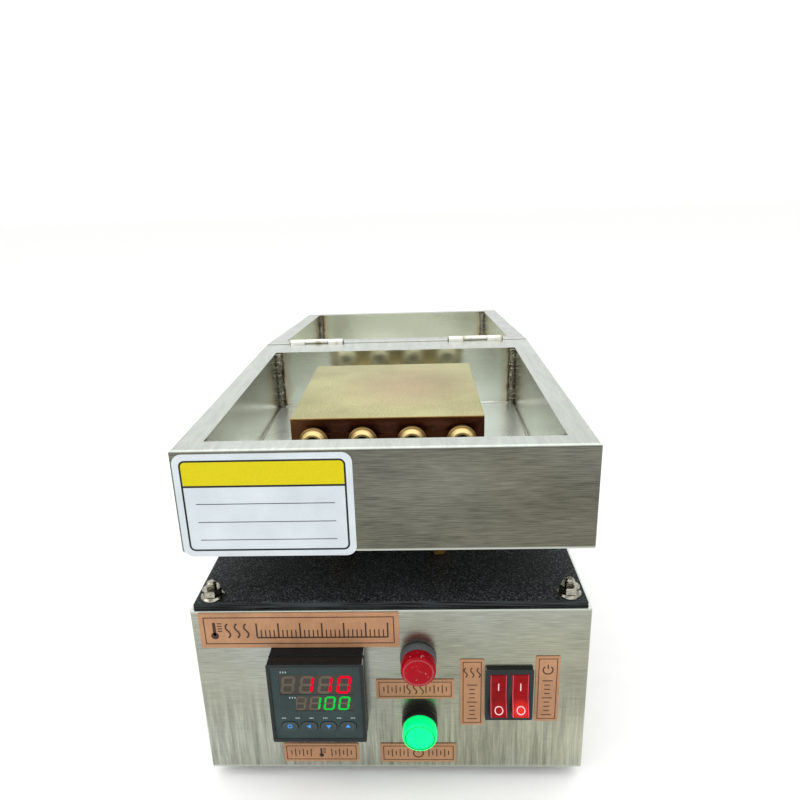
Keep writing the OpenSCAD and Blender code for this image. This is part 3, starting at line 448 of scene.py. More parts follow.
        # heat tones: distance from the nearest corner of the well, seen from above
        centre = (Vector(low) + Vector(high)) / 2
        half = (Vector(high) - Vector(low)) / 2
        away = add(tree, "VectorMath", {0: place, 1: centre}, operation="SUBTRACT").outputs[0]
        away = add(tree, "VectorMath", {0: away}, operation="ABSOLUTE").outputs[0]
        away = add(tree, "VectorMath", {0: away, 1: half}, operation="SUBTRACT").outputs[0]
        away = add(tree, "VectorMath", {0: away, 1: (1, 1, 0)}, operation="MULTIPLY").outputs[0]
        near = add(tree, "VectorMath", {0: away}, operation="LENGTH").outputs["Value"]
        stretched = add(tree, "Mapping", {"Vector": place, "Scale": (300, 300, 140)}).outputs[0]
        ragged = add(
            tree, "TexNoise", {"Vector": stretched, "Scale": 1.0, "Detail": 3, "Roughness": 0.6},
        ).outputs[0]
        near = add(tree, "Math", {0: ragged, 1: 5 * MM, 2: near}, operation="MULTIPLY_ADD").outputs[0]
        straw = add(
            tree, "MapRange", {0: near, 1: radius + 4.4 * MM, 2: radius + 11 * MM, 3: 0.55, 4: 0.0},
        ).outputs[0]
        brown = add(
            tree, "MapRange", {0: near, 1: radius + 4.0 * MM, 2: radius + 5.6 * MM, 3: 0.9, 4: 0.0},
        ).outputs[0]
        rolled = add(
            tree, "Mix", {0: straw, 6: rolled, 7: rgba(linear("#b59660"))}, data_type="RGBA",
        ).outputs[2]
        rolled = add(
            tree, "Mix", {0: brown, 6: rolled, 7: rgba(linear("#6e4320"))}, data_type="RGBA",
        ).outputs[2]
        kept_flat = add(tree, "Math", {0: 1.0, 1: level}, operation="SUBTRACT").outputs[0]
        within = add(tree, "Math", {0: within, 1: kept_flat}, operation="MULTIPLY").outputs[0]
        colour = add(tree, "Mix", {0: within, 6: colour, 7: rolled}, data_type="RGBA").outputs[2]
        rough = add(tree, "Mix", {0: within, 2: rough, 3: 0.2}).outputs[0]
    relief = add(tree, "Bump", {"Height": grain, "Strength": 0.6, "Distance": 0.06 * MM}).outputs[0]
    return finished(material, {"Metallic": 1.0, "Base Color": colour, "Roughness": rough, "Normal": relief})


def rolled_stainless(name, colour, metal=1.0):
    """Cold-rolled stainless sheet: smooth and faintly wavy, so reflections in it wander. A hot
    chamber leaves it slightly cloudy."""
    material, tree, coords = new_finish(name)
    place = coords.outputs["Object"]
    # rolling waves about 70 mm long, and a bloom with 2.4 mm patches
    stretched = add(tree, "Mapping", {"Vector": place, "Scale": (14, 14, 20)}).outputs[0]
    wave = add(
        tree, "TexNoise", {"Vector": stretched, "Scale": 1.0, "Detail": 2, "Roughness": 0.5},
    ).outputs[0]
    fine = add(tree, "TexNoise", {"Vector": place, "Scale": 420, "Detail": 3, "Roughness": 0.6}).outputs[0]
    shade = add(tree, "Math", {0: fine, 1: 0.3, 2: wave}, operation="MULTIPLY_ADD").outputs[0]
    amount = add(tree, "MapRange", {0: shade, 1: 0.45, 2: 0.85, 3: 0.0, 4: 1.0}).outputs[0]
    shown = add(
        tree, "Mix", {0: amount, 6: rgba(colour, 0.88), 7: rgba(colour, 1.05)}, data_type="RGBA",
    ).outputs[2]
    rough = add(tree, "MapRange", {0: wave, 1: 0.3, 2: 0.7, 3: 0.22, 4: 0.34}).outputs[0]
    relief = add(tree, "Bump", {"Height": wave, "Strength": 0.25, "Distance": 0.2 * MM}).outputs[0]
    return finished(
        material, {"Metallic": metal, "Base Color": shown, "Roughness": rough, "Normal": relief},
    )


def scaled_weld(name):
    """Stainless weld bead, left as welded: grey-brown oxide scale, rough, with bright grains
    where it has flaked."""
    material, tree, coords = new_finish(name)
    place = coords.outputs["Object"]
    # grains of scale 0.8 mm across, in patches of 6 mm
    scale = add(
        tree, "TexNoise", {"Vector": place, "Scale": 1300, "Detail": 3, "Roughness": 0.75},
    ).outputs[0]
    stretched = add(tree, "Mapping", {"Vector": place, "Scale": (160, 160, 90)}).outputs[0]
    patch = add(
        tree, "TexNoise", {"Vector": stretched, "Scale": 1.0, "Detail": 3, "Roughness": 0.6},
    ).outputs[0]
    amount = add(tree, "MapRange", {0: patch, 1: 0.35, 2: 0.65, 3: 0.0, 4: 1.0}).outputs[0]
    base = add(
        tree, "Mix", {0: amount, 6: rgba(linear("#33342b")), 7: rgba(linear("#6c6c5e"))},
        data_type="RGBA",
    ).outputs[2]
    amount = add(tree, "MapRange", {0: scale, 1: 0.5, 2: 0.62, 3: 0.0, 4: 1.0}).outputs[0]
    colour = add(tree, "Mix", {0: amount, 6: base, 7: rgba(linear("#c2c2b0"))}, data_type="RGBA").outputs[2]
    rough = add(tree, "MapRange", {0: scale, 1: 0.3, 2: 0.7, 3: 0.65, 4: 0.35}).outputs[0]
    relief = add(tree, "Bump", {"Height": scale, "Strength": 0.8, "Distance": 0.4 * MM}).outputs[0]
    return finished(
        material, {"Metallic": 0.85, "Base Color": colour, "Roughness": rough, "Normal": relief},
    )


def toned_hinge_steel(name):
    """Rolled stainless hinge, spot-heated when it was welded on: bright knuckles with straw and
    olive patches."""
    material, tree, coords = new_finish(name)
    place = coords.outputs["Object"]
    # heat patches 12 to 17 mm wide, and a grain of 1.1 mm
    stretched = add(tree, "Mapping", {"Vector": place, "Scale": (85, 60, 60)}).outputs[0]
    patch = add(
        tree, "TexNoise", {"Vector": stretched, "Scale": 1.0, "Detail": 2, "Roughness": 0.5},
    ).outputs[0]
    fine = add(tree, "TexNoise", {"Vector": place, "Scale": 900, "Detail": 2, "Roughness": 0.5}).outputs[0]
    amount = add(tree, "MapRange", {0: patch, 1: 0.5, 2: 0.6, 3: 0.0, 4: 0.85}).outputs[0]
    colour = add(
        tree, "Mix", {0: amount, 6: rgba(linear("#e4e2da")), 7: rgba(linear("#a08a5c"))},
        data_type="RGBA",
    ).outputs[2]
    rough = add(tree, "MapRange", {0: fine, 1: 0.3, 2: 0.7, 3: 0.25, 4: 0.4}).outputs[0]
    relief = add(tree, "Bump", {"Height": fine, "Strength": 0.2, "Distance": 0.02 * MM}).outputs[0]
    return finished(material, {"Metallic": 1.0, "Base Color": colour, "Roughness": rough, "Normal": relief})


def plated_fastener(name, hex_colour="#a9a598"):
    """Nickel-plated steel: a warm, bright metal with soft tool marks, whose dark end is a painted
    reflection of dark surroundings.
    """
    material, tree, coords = new_finish(name)
    place = coords.outputs["Object"]
    # marks 2 mm long and 0.7 mm apart, coarser than real ones so that they show
    stretched = add(tree, "Mapping", {"Vector": place, "Scale": (500, 500, 1400)}).outputs[0]
    marks = add(
        tree, "TexNoise", {"Vector": stretched, "Scale": 1.0, "Detail": 3, "Roughness": 0.6},
    ).outputs[0]
    colour = linear(hex_colour)
    amount = add(tree, "MapRange", {0: marks, 1: 0.3, 2: 0.7, 3: 0.0, 4: 1.0}).outputs[0]
    # painted reflection: the marks run from 0.45 to 1.05 of the colour; their dark end stands in for dark
    # things reflected in the faces
    shown = add(
        tree, "Mix", {0: amount, 6: rgba(colour, 0.45), 7: rgba(colour, 1.05)}, data_type="RGBA",
    ).outputs[2]
    rough = add(tree, "MapRange", {0: marks, 1: 0.3, 2: 0.7, 3: 0.08, 4: 0.2}).outputs[0]
    relief = add(tree, "Bump", {"Height": marks, "Strength": 0.15, "Distance": 0.03 * MM}).outputs[0]
    return finished(material, {"Metallic": 1.0, "Base Color": shown, "Roughness": rough, "Normal": relief})


def fibre_board(name, colour, box):
    """Pressed glass-fibre board with a matt black resin skin. Its face has a fine grain that
    catches the light, and its cut edge shows the pressed layers."""
    material, tree, coords = new_finish(name)
    place = coords.outputs["Object"]
    # grain about 0.8 mm, as the resin lies over the glass weave
    grain = add(
        tree, "TexNoise", {"Vector": place, "Scale": 1250, "Detail": 3, "Roughness": 0.75},
    ).outputs[0]
    cloud = add(tree, "TexNoise", {"Vector": place, "Scale": 30, "Detail": 3, "Roughness": 0.6}).outputs[0]
    # the pressed layers, 0.8 mm each
    stretched = add(tree, "Mapping", {"Vector": place, "Scale": (40, 40, 1250)}).outputs[0]
    layer = add(
        tree, "TexNoise", {"Vector": stretched, "Scale": 1.0, "Detail": 1, "Roughness": 0.4},
    ).outputs[0]
    height = add(tree, "SeparateXYZ", {0: place}).outputs[2]
    edge = add(
        tree, "MapRange", {0: height, 1: box[1].z - 0.4 * MM, 2: box[1].z - 0.2 * MM, 3: 1.0, 4: 0.0},
    ).outputs[0]
    amount = add(tree, "MapRange", {0: grain, 1: 0.5, 2: 0.68, 3: 0.0, 4: 1.0}).outputs[0]
    face = add(
        tree, "Mix", {0: amount, 6: rgba(colour), 7: rgba(linear("#5c6467"))}, data_type="RGBA",
    ).outputs[2]
    amount = add(tree, "MapRange", {0: cloud, 1: 0.45, 2: 0.75, 3: 0.0, 4: 0.3}).outputs[0]
    face = add(tree, "Mix", {0: amount, 6: face, 7: rgba(linear("#2a2e30"))}, data_type="RGBA").outputs[2]
    amount = add(tree, "MapRange", {0: layer, 1: 0.4, 2: 0.6, 3: 0.0, 4: 1.0}).outputs[0]
    side = add(
        tree, "Mix", {0: amount, 6: rgba(colour, 0.7), 7: rgba(linear("#33383a"))}, data_type="RGBA",
    ).outputs[2]
    shown = add(tree, "Mix", {0: edge, 6: face, 7: side}, data_type="RGBA").outputs[2]
    rough = add(tree, "MapRange", {0: grain, 1: 0.3, 2: 0.7, 3: 0.62, 4: 0.42}).outputs[0]
    relief = add(tree, "Bump", {"Height": grain, "Strength": 0.7, "Distance": 0.2 * MM}).outputs[0]
    return finished(
        material, {"Specular IOR Level": 0.15, "Base Color": shown, "Roughness": rough, "Normal": relief},
    )


def heat_toned_brass(name, top, side, box):
    """Milled brass that has been hot for years. The top is oxidised to a dull gold with a fine
    grain and a rose cloud in its middle. The sides are a deep, glossy red brown, with a painted
    reflection lighter towards the left end and a painted highlight just under the top edge."""
    material, tree, coords = new_finish(name)
    place = coords.outputs["Object"]
    centre = middle(box)
    # grain of the oxide, 0.9 mm, coarser than the real one so that it shows
    grain = add(
        tree, "TexNoise", {"Vector": place, "Scale": 1100, "Detail": 3, "Roughness": 0.75},
    ).outputs[0]
    cloud = add(tree, "TexNoise", {"Vector": place, "Scale": 24, "Detail": 3, "Roughness": 0.55}).outputs[0]
    fine = add(tree, "Math", {0: grain, 1: 2.0, 2: cloud}, operation="MULTIPLY_ADD").outputs[0]
    amount = add(tree, "MapRange", {0: fine, 1: 1.2, 2: 1.85, 3: 0.0, 4: 1.0}).outputs[0]
    dull = add(tree, "Mix", {0: amount, 6: rgba(top, 0.7), 7: rgba(top, 1.32)}, data_type="RGBA").outputs[2]
    away = add(
        tree, "VectorMath", {0: place, 1: centre + Vector((0.012, 0.004, 0))}, operation="DISTANCE",
    ).outputs["Value"]
    away = add(tree, "Math", {0: cloud, 1: -0.03, 2: away}, operation="MULTIPLY_ADD").outputs[0]
    amount = add(tree, "MapRange", {0: away, 1: 0.0, 2: 0.03, 3: 0.5, 4: 0.0}).outputs[0]
    dull = add(tree, "Mix", {0: amount, 6: dull, 7: rgba(linear("#a98f7c"))}, data_type="RGBA").outputs[2]
    run = add(tree, "SeparateXYZ", {0: place}).outputs
    amount = add(tree, "MapRange", {0: cloud, 1: 0.35, 2: 0.65, 3: 0.0, 4: 1.0}).outputs[0]
    brown = add(
        tree, "Mix", {0: amount, 6: rgba(side, 0.75), 7: rgba(side, 1.35)}, data_type="RGBA",
    ).outputs[2]
    # painted reflection: the sides turn a lighter brown within 18 mm of the left end
    amount = add(
        tree, "MapRange", {0: run[0], 1: box[0].x, 2: box[0].x + 0.018, 3: 0.75, 4: 0.0},
    ).outputs[0]
    brown = add(tree, "Mix", {0: amount, 6: brown, 7: rgba(linear("#7a5336"))}, data_type="RGBA").outputs[2]
    amount = add(tree, "MapRange", {0: grain, 1: 0.6, 2: 0.72, 3: 0.0, 4: 0.35}).outputs[0]
    brown = add(tree, "Mix", {0: amount, 6: brown, 7: rgba(linear("#9a7440"))}, data_type="RGBA").outputs[2]
    # painted highlight: a bright gold line just under the top edge
    amount = add(
        tree, "MapRange", {0: run[2], 1: box[1].z - 0.9 * MM, 2: box[1].z - 0.5 * MM, 3: 0.0, 4: 0.8},
    ).outputs[0]
    brown = add(tree, "Mix", {0: amount, 6: brown, 7: rgba(linear("#b98f4a"))}, data_type="RGBA").outputs[2]
    amount = add(
        tree, "MapRange", {0: run[1], 1: box[1].y - 4 * MM, 2: box[1].y - 1 * MM, 3: 0.0, 4: 0.9},
    ).outputs[0]
    brown = add(tree, "Mix", {0: amount, 6: brown, 7: rgba(linear("#a08f5c"))}, data_type="RGBA").outputs[2]
    level = add(tree, "SeparateXYZ", {0: coords.outputs["Normal"]}).outputs[2]
    level = add(tree, "MapRange", {0: level, 1: 0.5, 2: 0.85, 3: 0.0, 4: 1.0}).outputs[0]
    shown = add(tree, "Mix", {0: level, 6: brown, 7: dull}, data_type="RGBA").outputs[2]
    rough = add(tree, "Mix", {0: level, 2: 0.46, 3: 0.58}).outputs[0]
    relief = add(tree, "Bump", {"Height": grain, "Strength": 0.3, "Distance": 0.05 * MM}).outputs[0]
    return finished(material, {"Metallic": 0.92, "Base Color": shown, "Roughness": rough, "Normal": relief})


def turned_brass(name, colour, dark=None, edge=None):
    """Lathe-turned brass: bright, with fine tool rings. The outer part of a bush is toned brown
    by the hot block behind it."""
    material, tree, coords = new_finish(name)
    place = coords.outputs["Object"]
    # tool rings 0.4 mm apart
    stretched = add(tree, "Mapping", {"Vector": place, "Scale": (350, 2400, 350)}).outputs[0]
    marks = add(
        tree, "TexNoise", {"Vector": stretched, "Scale": 1.0, "Detail": 3, "Roughness": 0.6},
    ).outputs[0]
    amount = add(tree, "MapRange", {0: marks, 1: 0.3, 2: 0.7, 3: 0.0, 4: 1.0}).outputs[0]
    shown = add(
        tree, "Mix", {0: amount, 6: rgba(colour, 0.8), 7: rgba(colour, 1.15)}, data_type="RGBA",
    ).outputs[2]
    if dark is not None:
        run = add(tree, "SeparateXYZ", {0: place}).outputs[1]
        tone = add(tree, "Math", {0: run, 1: edge[0]}, operation="SUBTRACT").outputs[0]
        tone = add(tree, "Math", {0: tone}, operation="ABSOLUTE").outputs[0]
        amount = add(
            tree, "MapRange", {0: tone, 1: edge[1] - 1.2 * MM, 2: edge[1], 3: 0.85, 4: 0.0},
        ).outputs[0]
        shown = add(tree, "Mix", {0: amount, 6: shown, 7: rgba(dark)}, data_type="RGBA").outputs[2]
    rough = add(tree, "MapRange", {0: marks, 1: 0.3, 2: 0.7, 3: 0.34, 4: 0.5}).outputs[0]
    relief = add(tree, "Bump", {"Height": marks, "Strength": 0.2, "Distance": 0.03 * MM}).outputs[0]
    return finished(material, {"Metallic": 1.0, "Base Color": shown, "Roughness": rough, "Normal": relief})


def moulded_plastic(
    name, colour, roughness=0.4, coat=0.0, grain_mm=0.5, texture=0.25, fleck=1.35, edge_highlight=0.0,
):
    """Injection-moulded ABS or nylon: even colour, a faint spark-eroded texture, and a softer
    sheen where hands have polished it. Rounded edges can get a painted highlight in pale grey."""
    material, tree, coords = new_finish(name)
    place = coords.outputs["Object"]
    per_metre = 1 / (grain_mm * MM)
    grain = add(
        tree, "TexNoise", {"Vector": place, "Scale": per_metre, "Detail": 3, "Roughness": 0.6},
    ).outputs[0]
    # handling leaves patches of 22 mm
    cloud = add(tree, "TexNoise", {"Vector": place, "Scale": 45, "Detail": 3, "Roughness": 0.6}).outputs[0]
    both = add(tree, "Math", {0: grain, 1: 0.5, 2: cloud}, operation="MULTIPLY_ADD").outputs[0]
    amount = add(tree, "MapRange", {0: both, 1: 0.5, 2: 1.0, 3: 0.0, 4: 1.0}).outputs[0]
    shown = add(
        tree, "Mix", {0: amount, 6: rgba(colour, 0.8), 7: rgba(colour, fleck)}, data_type="RGBA",
    ).outputs[2]
    if edge_highlight:
        # painted highlight: an edge is where the surface faces between two axes, and there the colour turns
        # pale grey
        facing = add(tree, "VectorMath", {0: coords.outputs["Normal"]}, operation="ABSOLUTE").outputs[0]
        sides = add(tree, "SeparateXYZ", {0: facing}).outputs
        most = add(tree, "Math", {0: sides[0], 1: sides[1]}, operation="MAXIMUM").outputs[0]
        most = add(tree, "Math", {0: most, 1: sides[2]}, operation="MAXIMUM").outputs[0]
        edge = add(tree, "MapRange", {0: most, 1: 0.97, 2: 0.85, 3: 0.0, 4: edge_highlight}).outputs[0]
        shown = add(
            tree, "Mix", {0: edge, 6: shown, 7: rgba(linear("#a9b0b0"))}, data_type="RGBA",
        ).outputs[2]
    rough = add(
        tree, "MapRange", {0: both, 1: 0.5, 2: 1.0, 3: roughness + 0.08, 4: roughness - 0.08},
    ).outputs[0]
    relief = add(tree, "Bump", {"Height": grain, "Strength": texture, "Distance": 0.04 * MM}).outputs[0]
    return finished(
        material,
        {
            "IOR": 1.53, "Specular IOR Level": 0.2, "Coat Weight": coat, "Coat Roughness": 0.12,
            "Base Color": shown, "Roughness": rough, "Normal": relief,
        },
    )


def tinted_lens(name, colour, glow, centre, radius, wear):
    """Clear tinted polycarbonate lens: deep colour, a glossy skin, and light chips where its
    face is worn. Its colour is lighter in the middle as a painted glow, and a lit one glows
    brightest in its middle."""
    values = {
        "IOR": 1.5, "Specular IOR Level": 0.08, "Coat Weight": 0.05, "Coat Roughness": 0.1,
        "Emission Strength": glow,
    }
    material, tree, coords = new_finish(name)
    place = coords.outputs["Object"]
    away = add(tree, "VectorMath", {0: place, 1: centre}, operation="SUBTRACT").outputs[0]
    depth = add(tree, "SeparateXYZ", {0: away}).outputs[1]
    across = add(tree, "VectorMath", {0: away, 1: (1, 0, 1)}, operation="MULTIPLY").outputs[0]
    across = add(tree, "VectorMath", {0: across}, operation="LENGTH").outputs["Value"]
    measure = add(tree, "Math", {0: depth, 1: 0.9, 2: across}, operation="MULTIPLY_ADD").outputs[0]
    heart = add(tree, "MapRange", {0: measure, 1: 0.8 * radius, 2: 2.1 * radius, 3: 1.0, 4: 0.0}).outputs[0]
    # the moulded lip round the face: a painted highlight as a pale line on an unlit lens, and a painted
    # shade as a dark line on a lit lens
    lip = add(tree, "Math", {0: across, 1: 0.83 * radius}, operation="SUBTRACT").outputs[0]
    lip = add(tree, "Math", {0: lip}, operation="ABSOLUTE").outputs[0]
    lip = add(
        tree, "MapRange", {0: lip, 1: 0.2 * MM, 2: 0.5 * MM, 3: 0.8 if glow > 1 else 0.5, 4: 0.0},
    ).outputs[0]
    # chips 2.4 mm apart, over clouds of 6 mm
    chips = add(
        tree, "TexNoise", {"Vector": place, "Scale": 420, "Detail": 4, "Roughness": 0.75},
    ).outputs[0]
    cloud = add(tree, "TexNoise", {"Vector": place, "Scale": 160, "Detail": 3, "Roughness": 0.6}).outputs[0]
    chipped = add(tree, "MapRange", {0: chips, 1: 0.62, 2: 0.7, 3: 0.0, 4: wear}).outputs[0]
    # painted glow: the base colour is lighter in the middle of the face and darker out towards the drum's
    # side
    deep = add(
        tree, "Mix", {0: heart, 6: rgba(colour, 0.45), 7: rgba(colour, 1.1)}, data_type="RGBA",
    ).outputs[2]
    amount = add(tree, "MapRange", {0: cloud, 1: 0.35, 2: 0.7, 3: 0.0, 4: 0.5}).outputs[0]
    deep = add(tree, "Mix", {0: amount, 6: deep, 7: rgba(colour, 0.55)}, data_type="RGBA").outputs[2]
    shown = add(
        tree, "Mix", {0: chipped, 6: deep, 7: rgba([0.45 + 0.5 * c for c in colour])}, data_type="RGBA",
    ).outputs[2]
    shown = add(
        tree, "Mix",
        {0: lip, 6: shown, 7: rgba(colour, 0.05) if glow > 1 else rgba([0.12 + 0.7 * c for c in colour])},
        data_type="RGBA",
    ).outputs[2]
    lit = add(tree, "Mix", {0: heart, 6: rgba(colour, 0.22), 7: rgba(colour)}, data_type="RGBA").outputs[2]
    lit = add(tree, "Mix", {0: lip, 6: lit, 7: rgba(colour, 0.04)}, data_type="RGBA").outputs[2]
    rough = add(tree, "MapRange", {0: cloud, 1: 0.3, 2: 0.7, 3: 0.14, 4: 0.3}).outputs[0]
    relief = add(tree, "Bump", {"Height": chips, "Strength": 0.12, "Distance": 0.1 * MM}).outputs[0]
    return finished(
        material,
        {**values, "Base Color": shown, "Emission Color": lit, "Roughness": rough, "Normal": relief},
    )


def clear_red_rocker(name, colour, centre, half_width, glow, glow_point):
    """Clear red polycarbonate rocker: crimson in the bulk, pale where light leaves its edges.
    The neon behind a closed one shows as a warm spot."""
    values = {
        "IOR": 1.5, "Specular IOR Level": 0.08, "Coat Weight": 0.06, "Coat Roughness": 0.08,
        "Emission Strength": glow,
    }
    material, tree, coords = new_finish(name)
    place = coords.outputs["Object"]
    # clouds of 4.5 mm in the moulding
    cloud = add(tree, "TexNoise", {"Vector": place, "Scale": 220, "Detail": 3, "Roughness": 0.6}).outputs[0]
    amount = add(tree, "MapRange", {0: cloud, 1: 0.3, 2: 0.7, 3: 0.0, 4: 1.0}).outputs[0]
    deep = add(
        tree, "Mix", {0: amount, 6: rgba(colour, 0.7), 7: rgba(colour, 1.25)}, data_type="RGBA",
    ).outputs[2]
    side = add(tree, "SeparateXYZ", {0: place}).outputs[0]
    side = add(tree, "Math", {0: side, 1: centre.x}, operation="SUBTRACT").outputs[0]
    side = add(tree, "Math", {0: side}, operation="ABSOLUTE").outputs[0]
    edge = add(
        tree, "MapRange", {0: side, 1: half_width - 0.5 * MM, 2: half_width - 0.3 * MM, 3: 0.0, 4: 0.55},
    ).outputs[0]
    shown = add(tree, "Mix", {0: edge, 6: deep, 7: rgba(linear("#d96a78"))}, data_type="RGBA").outputs[2]
    away = add(tree, "VectorMath", {0: place, 1: glow_point}, operation="DISTANCE").outputs["Value"]
    spot = add(tree, "MapRange", {0: away, 1: 0.5 * MM, 2: 6.5 * MM, 3: 1.0, 4: 0.0}).outputs[0]
    lit = add(
        tree, "Mix", {0: spot, 6: (0.10, 0.0, 0.0, 1.0), 7: (1.0, 0.05, 0.03, 1.0)}, data_type="RGBA",
    ).outputs[2]
    rough = add(tree, "MapRange", {0: cloud, 1: 0.3, 2: 0.7, 3: 0.12, 4: 0.24}).outputs[0]
    return finished(material, {**values, "Base Color": shown, "Emission Color": lit, "Roughness": rough})


def lit_segment(name, colour, glow):
    """Lit LED segment behind its diffuser: even, saturated light with a soft grain."""
    material, tree, coords = new_finish(name)
    # the diffuser's grain, 1.1 mm
    grain = add(
        tree, "TexNoise",
        {"Vector": coords.outputs["Object"], "Scale": 900, "Detail": 2, "Roughness": 0.5},
    ).outputs[0]
    amount = add(tree, "MapRange", {0: grain, 1: 0.3, 2: 0.7, 3: 0.0, 4: 1.0}).outputs[0]
    shown = add(
        tree, "Mix", {0: amount, 6: rgba(colour, 0.75), 7: rgba(colour)}, data_type="RGBA",
    ).outputs[2]
    unlit = add(tree, "Mix", {0: 0.85, 6: shown, 7: (0.0, 0.0, 0.0, 1.0)}, data_type="RGBA").outputs[2]
    return finished(
        material,
        {
            "Roughness": 0.5, "Specular IOR Level": 0.0, "Emission Strength": glow, "Base Color": unlit,
            "Emission Color": shown,
        },
    )


def printed_laminate(name, colour):
    """Printed copper-tone laminate: a satin sheet whose print fades and yellows in patches."""
    material, tree, coords = new_finish(name)
    place = coords.outputs["Object"]
    # print fibres 1.1 mm across and 4 mm long, and faded patches of 17 mm
    stretched = add(tree, "Mapping", {"Vector": place, "Scale": (900, 900, 260)}).outputs[0]
    fibre = add(
        tree, "TexNoise", {"Vector": stretched, "Scale": 1.0, "Detail": 3, "Roughness": 0.6},
    ).outputs[0]
    cloud = add(tree, "TexNoise", {"Vector": place, "Scale": 60, "Detail": 3, "Roughness": 0.6}).outputs[0]
    both = add(tree, "Math", {0: fibre, 1: 0.5, 2: cloud}, operation="MULTIPLY_ADD").outputs[0]
    amount = add(tree, "MapRange", {0: both, 1: 0.5, 2: 1.0, 3: 0.0, 4: 1.0}).outputs[0]
    shown = add(
        tree, "Mix", {0: amount, 6: rgba(colour, 0.84), 7: rgba(colour, 1.15)}, data_type="RGBA",
    ).outputs[2]
    rough = add(tree, "MapRange", {0: fibre, 1: 0.3, 2: 0.7, 3: 0.42, 4: 0.58}).outputs[0]
    relief = add(tree, "Bump", {"Height": fibre, "Strength": 0.15, "Distance": 0.02 * MM}).outputs[0]
    return finished(
        material,
        {
            "IOR": 1.5, "Specular IOR Level": 0.25, "Coat Weight": 0.05, "Coat Roughness": 0.3,
            "Base Color": shown, "Roughness": rough, "Normal": relief,
        },
    )


def coated_film(name, colour):
    """Pressure-sensitive vinyl film with a clear coat: a cool white with a faint mottle from the
    adhesive underneath."""
    material, tree, coords = new_finish(name)
    place = coords.outputs["Object"]
    # mottle of about 0.8 mm
    mottle = add(
        tree, "TexNoise", {"Vector": place, "Scale": 1200, "Detail": 3, "Roughness": 0.65},
    ).outputs[0]
    cloud = add(tree, "TexNoise", {"Vector": place, "Scale": 50, "Detail": 2, "Roughness": 0.5}).outputs[0]
    both = add(tree, "Math", {0: mottle, 1: 0.7, 2: cloud}, operation="MULTIPLY_ADD").outputs[0]
    amount = add(tree, "MapRange", {0: both, 1: 0.6, 2: 1.1, 3: 0.0, 4: 1.0}).outputs[0]
    shown = add(
        tree, "Mix", {0: amount, 6: rgba(colour, 0.9), 7: rgba(colour, 1.06)}, data_type="RGBA",
    ).outputs[2]
    rough = add(tree, "MapRange", {0: mottle, 1: 0.3, 2: 0.7, 3: 0.4, 4: 0.55}).outputs[0]
    relief = add(tree, "Bump", {"Height": mottle, "Strength": 0.2, "Distance": 0.04 * MM}).outputs[0]
    return finished(
        material,
        {
            "IOR": 1.5, "Coat Weight": 0.3, "Coat Roughness": 0.2, "Base Color": shown,
            "Roughness": rough, "Normal": relief,
        },
    )


def screen_ink(name, colour, thin=1.6):
    """Screen-printed ink: flat and matt, a little thin in places."""
    material, tree, coords = new_finish(name)
    # ink grain 0.7 mm
    grain = add(
        tree, "TexNoise",
        {"Vector": coords.outputs["Object"], "Scale": 1500, "Detail": 3, "Roughness": 0.6},
    ).outputs[0]
    amount = add(tree, "MapRange", {0: grain, 1: 0.35, 2: 0.75, 3: 0.0, 4: 1.0}).outputs[0]
    shown = add(
        tree, "Mix", {0: amount, 6: rgba(colour), 7: rgba(colour, thin)}, data_type="RGBA",
    ).outputs[2]
    rough = add(tree, "MapRange", {0: grain, 1: 0.3, 2: 0.7, 3: 0.45, 4: 0.6}).outputs[0]
    return finished(
        material, {"IOR": 1.45, "Specular IOR Level": 0.2, "Base Color": shown, "Roughness": rough},
    )


def needled_wool(name):
    """Needled glass wool: cream fibres in a loose mat."""
    material, tree, coords = new_finish(name)
    place = coords.outputs["Object"]
    # fibres 1.4 mm apart and 8 mm long
    stretched = add(tree, "Mapping", {"Vector": place, "Scale": (700, 120, 700)}).outputs[0]
    fibre = add(
        tree, "TexNoise", {"Vector": stretched, "Scale": 1.0, "Detail": 4, "Roughness": 0.7},
    ).outputs[0]
    shown = add(
        tree, "Mix", {0: fibre, 6: rgba(linear("#b9a77a")), 7: rgba(linear("#f3ead0"))}, data_type="RGBA",
    ).outputs[2]
    relief = add(tree, "Bump", {"Height": fibre, "Strength": 0.9, "Distance": 0.6 * MM}).outputs[0]
    return finished(
        material, {"Sheen Weight": 0.4, "Roughness": 0.95, "Base Color": shown, "Normal": relief},
    )


def braided_sleeve(name, hex_colour):
    """Braided glass sleeve or silicone wire: a soft round skin with a crossing weave."""
    material, tree, coords = new_finish(name)
    place = coords.outputs["Object"]
    # bands of the weave 2 mm apart
    weave = add(
        tree, "TexWave", {"Vector": place, "Scale": 160.0, "Distortion": 2.0, "Detail": 2.0},
        bands_direction="DIAGONAL",
    ).outputs[1]
    colour = linear(hex_colour)
    shown = add(
        tree, "Mix", {0: weave, 6: rgba(colour, 0.65), 7: rgba(colour, 1.15)}, data_type="RGBA",
    ).outputs[2]
    rough = add(tree, "MapRange", {0: weave, 1: 0.0, 2: 1.0, 3: 0.75, 4: 0.5}).outputs[0]
    relief = add(tree, "Bump", {"Height": weave, "Strength": 0.4, "Distance": 0.1 * MM}).outputs[0]
    return finished(material, {"IOR": 1.45, "Base Color": shown, "Roughness": rough, "Normal": relief})


def pale_floor(name):
    """Painted studio floor: pale, matt, with a barely visible roller texture."""
    material, tree, coords = new_finish(name)
    # the roller's marks, 33 mm
    nap = add(
        tree, "TexNoise",
        {"Vector": coords.outputs["Object"], "Scale": 30, "Detail": 3, "Roughness": 0.6},
    ).outputs[0]
    shown = add(
        tree, "Mix", {0: nap, 6: rgba(linear("#f4f4f3")), 7: rgba(linear("#fbfbfa"))}, data_type="RGBA",
    ).outputs[2]
    return finished(material, {"Roughness": 0.9, "IOR": 1.3, "Base Color": shown})


# ---- Operators ----


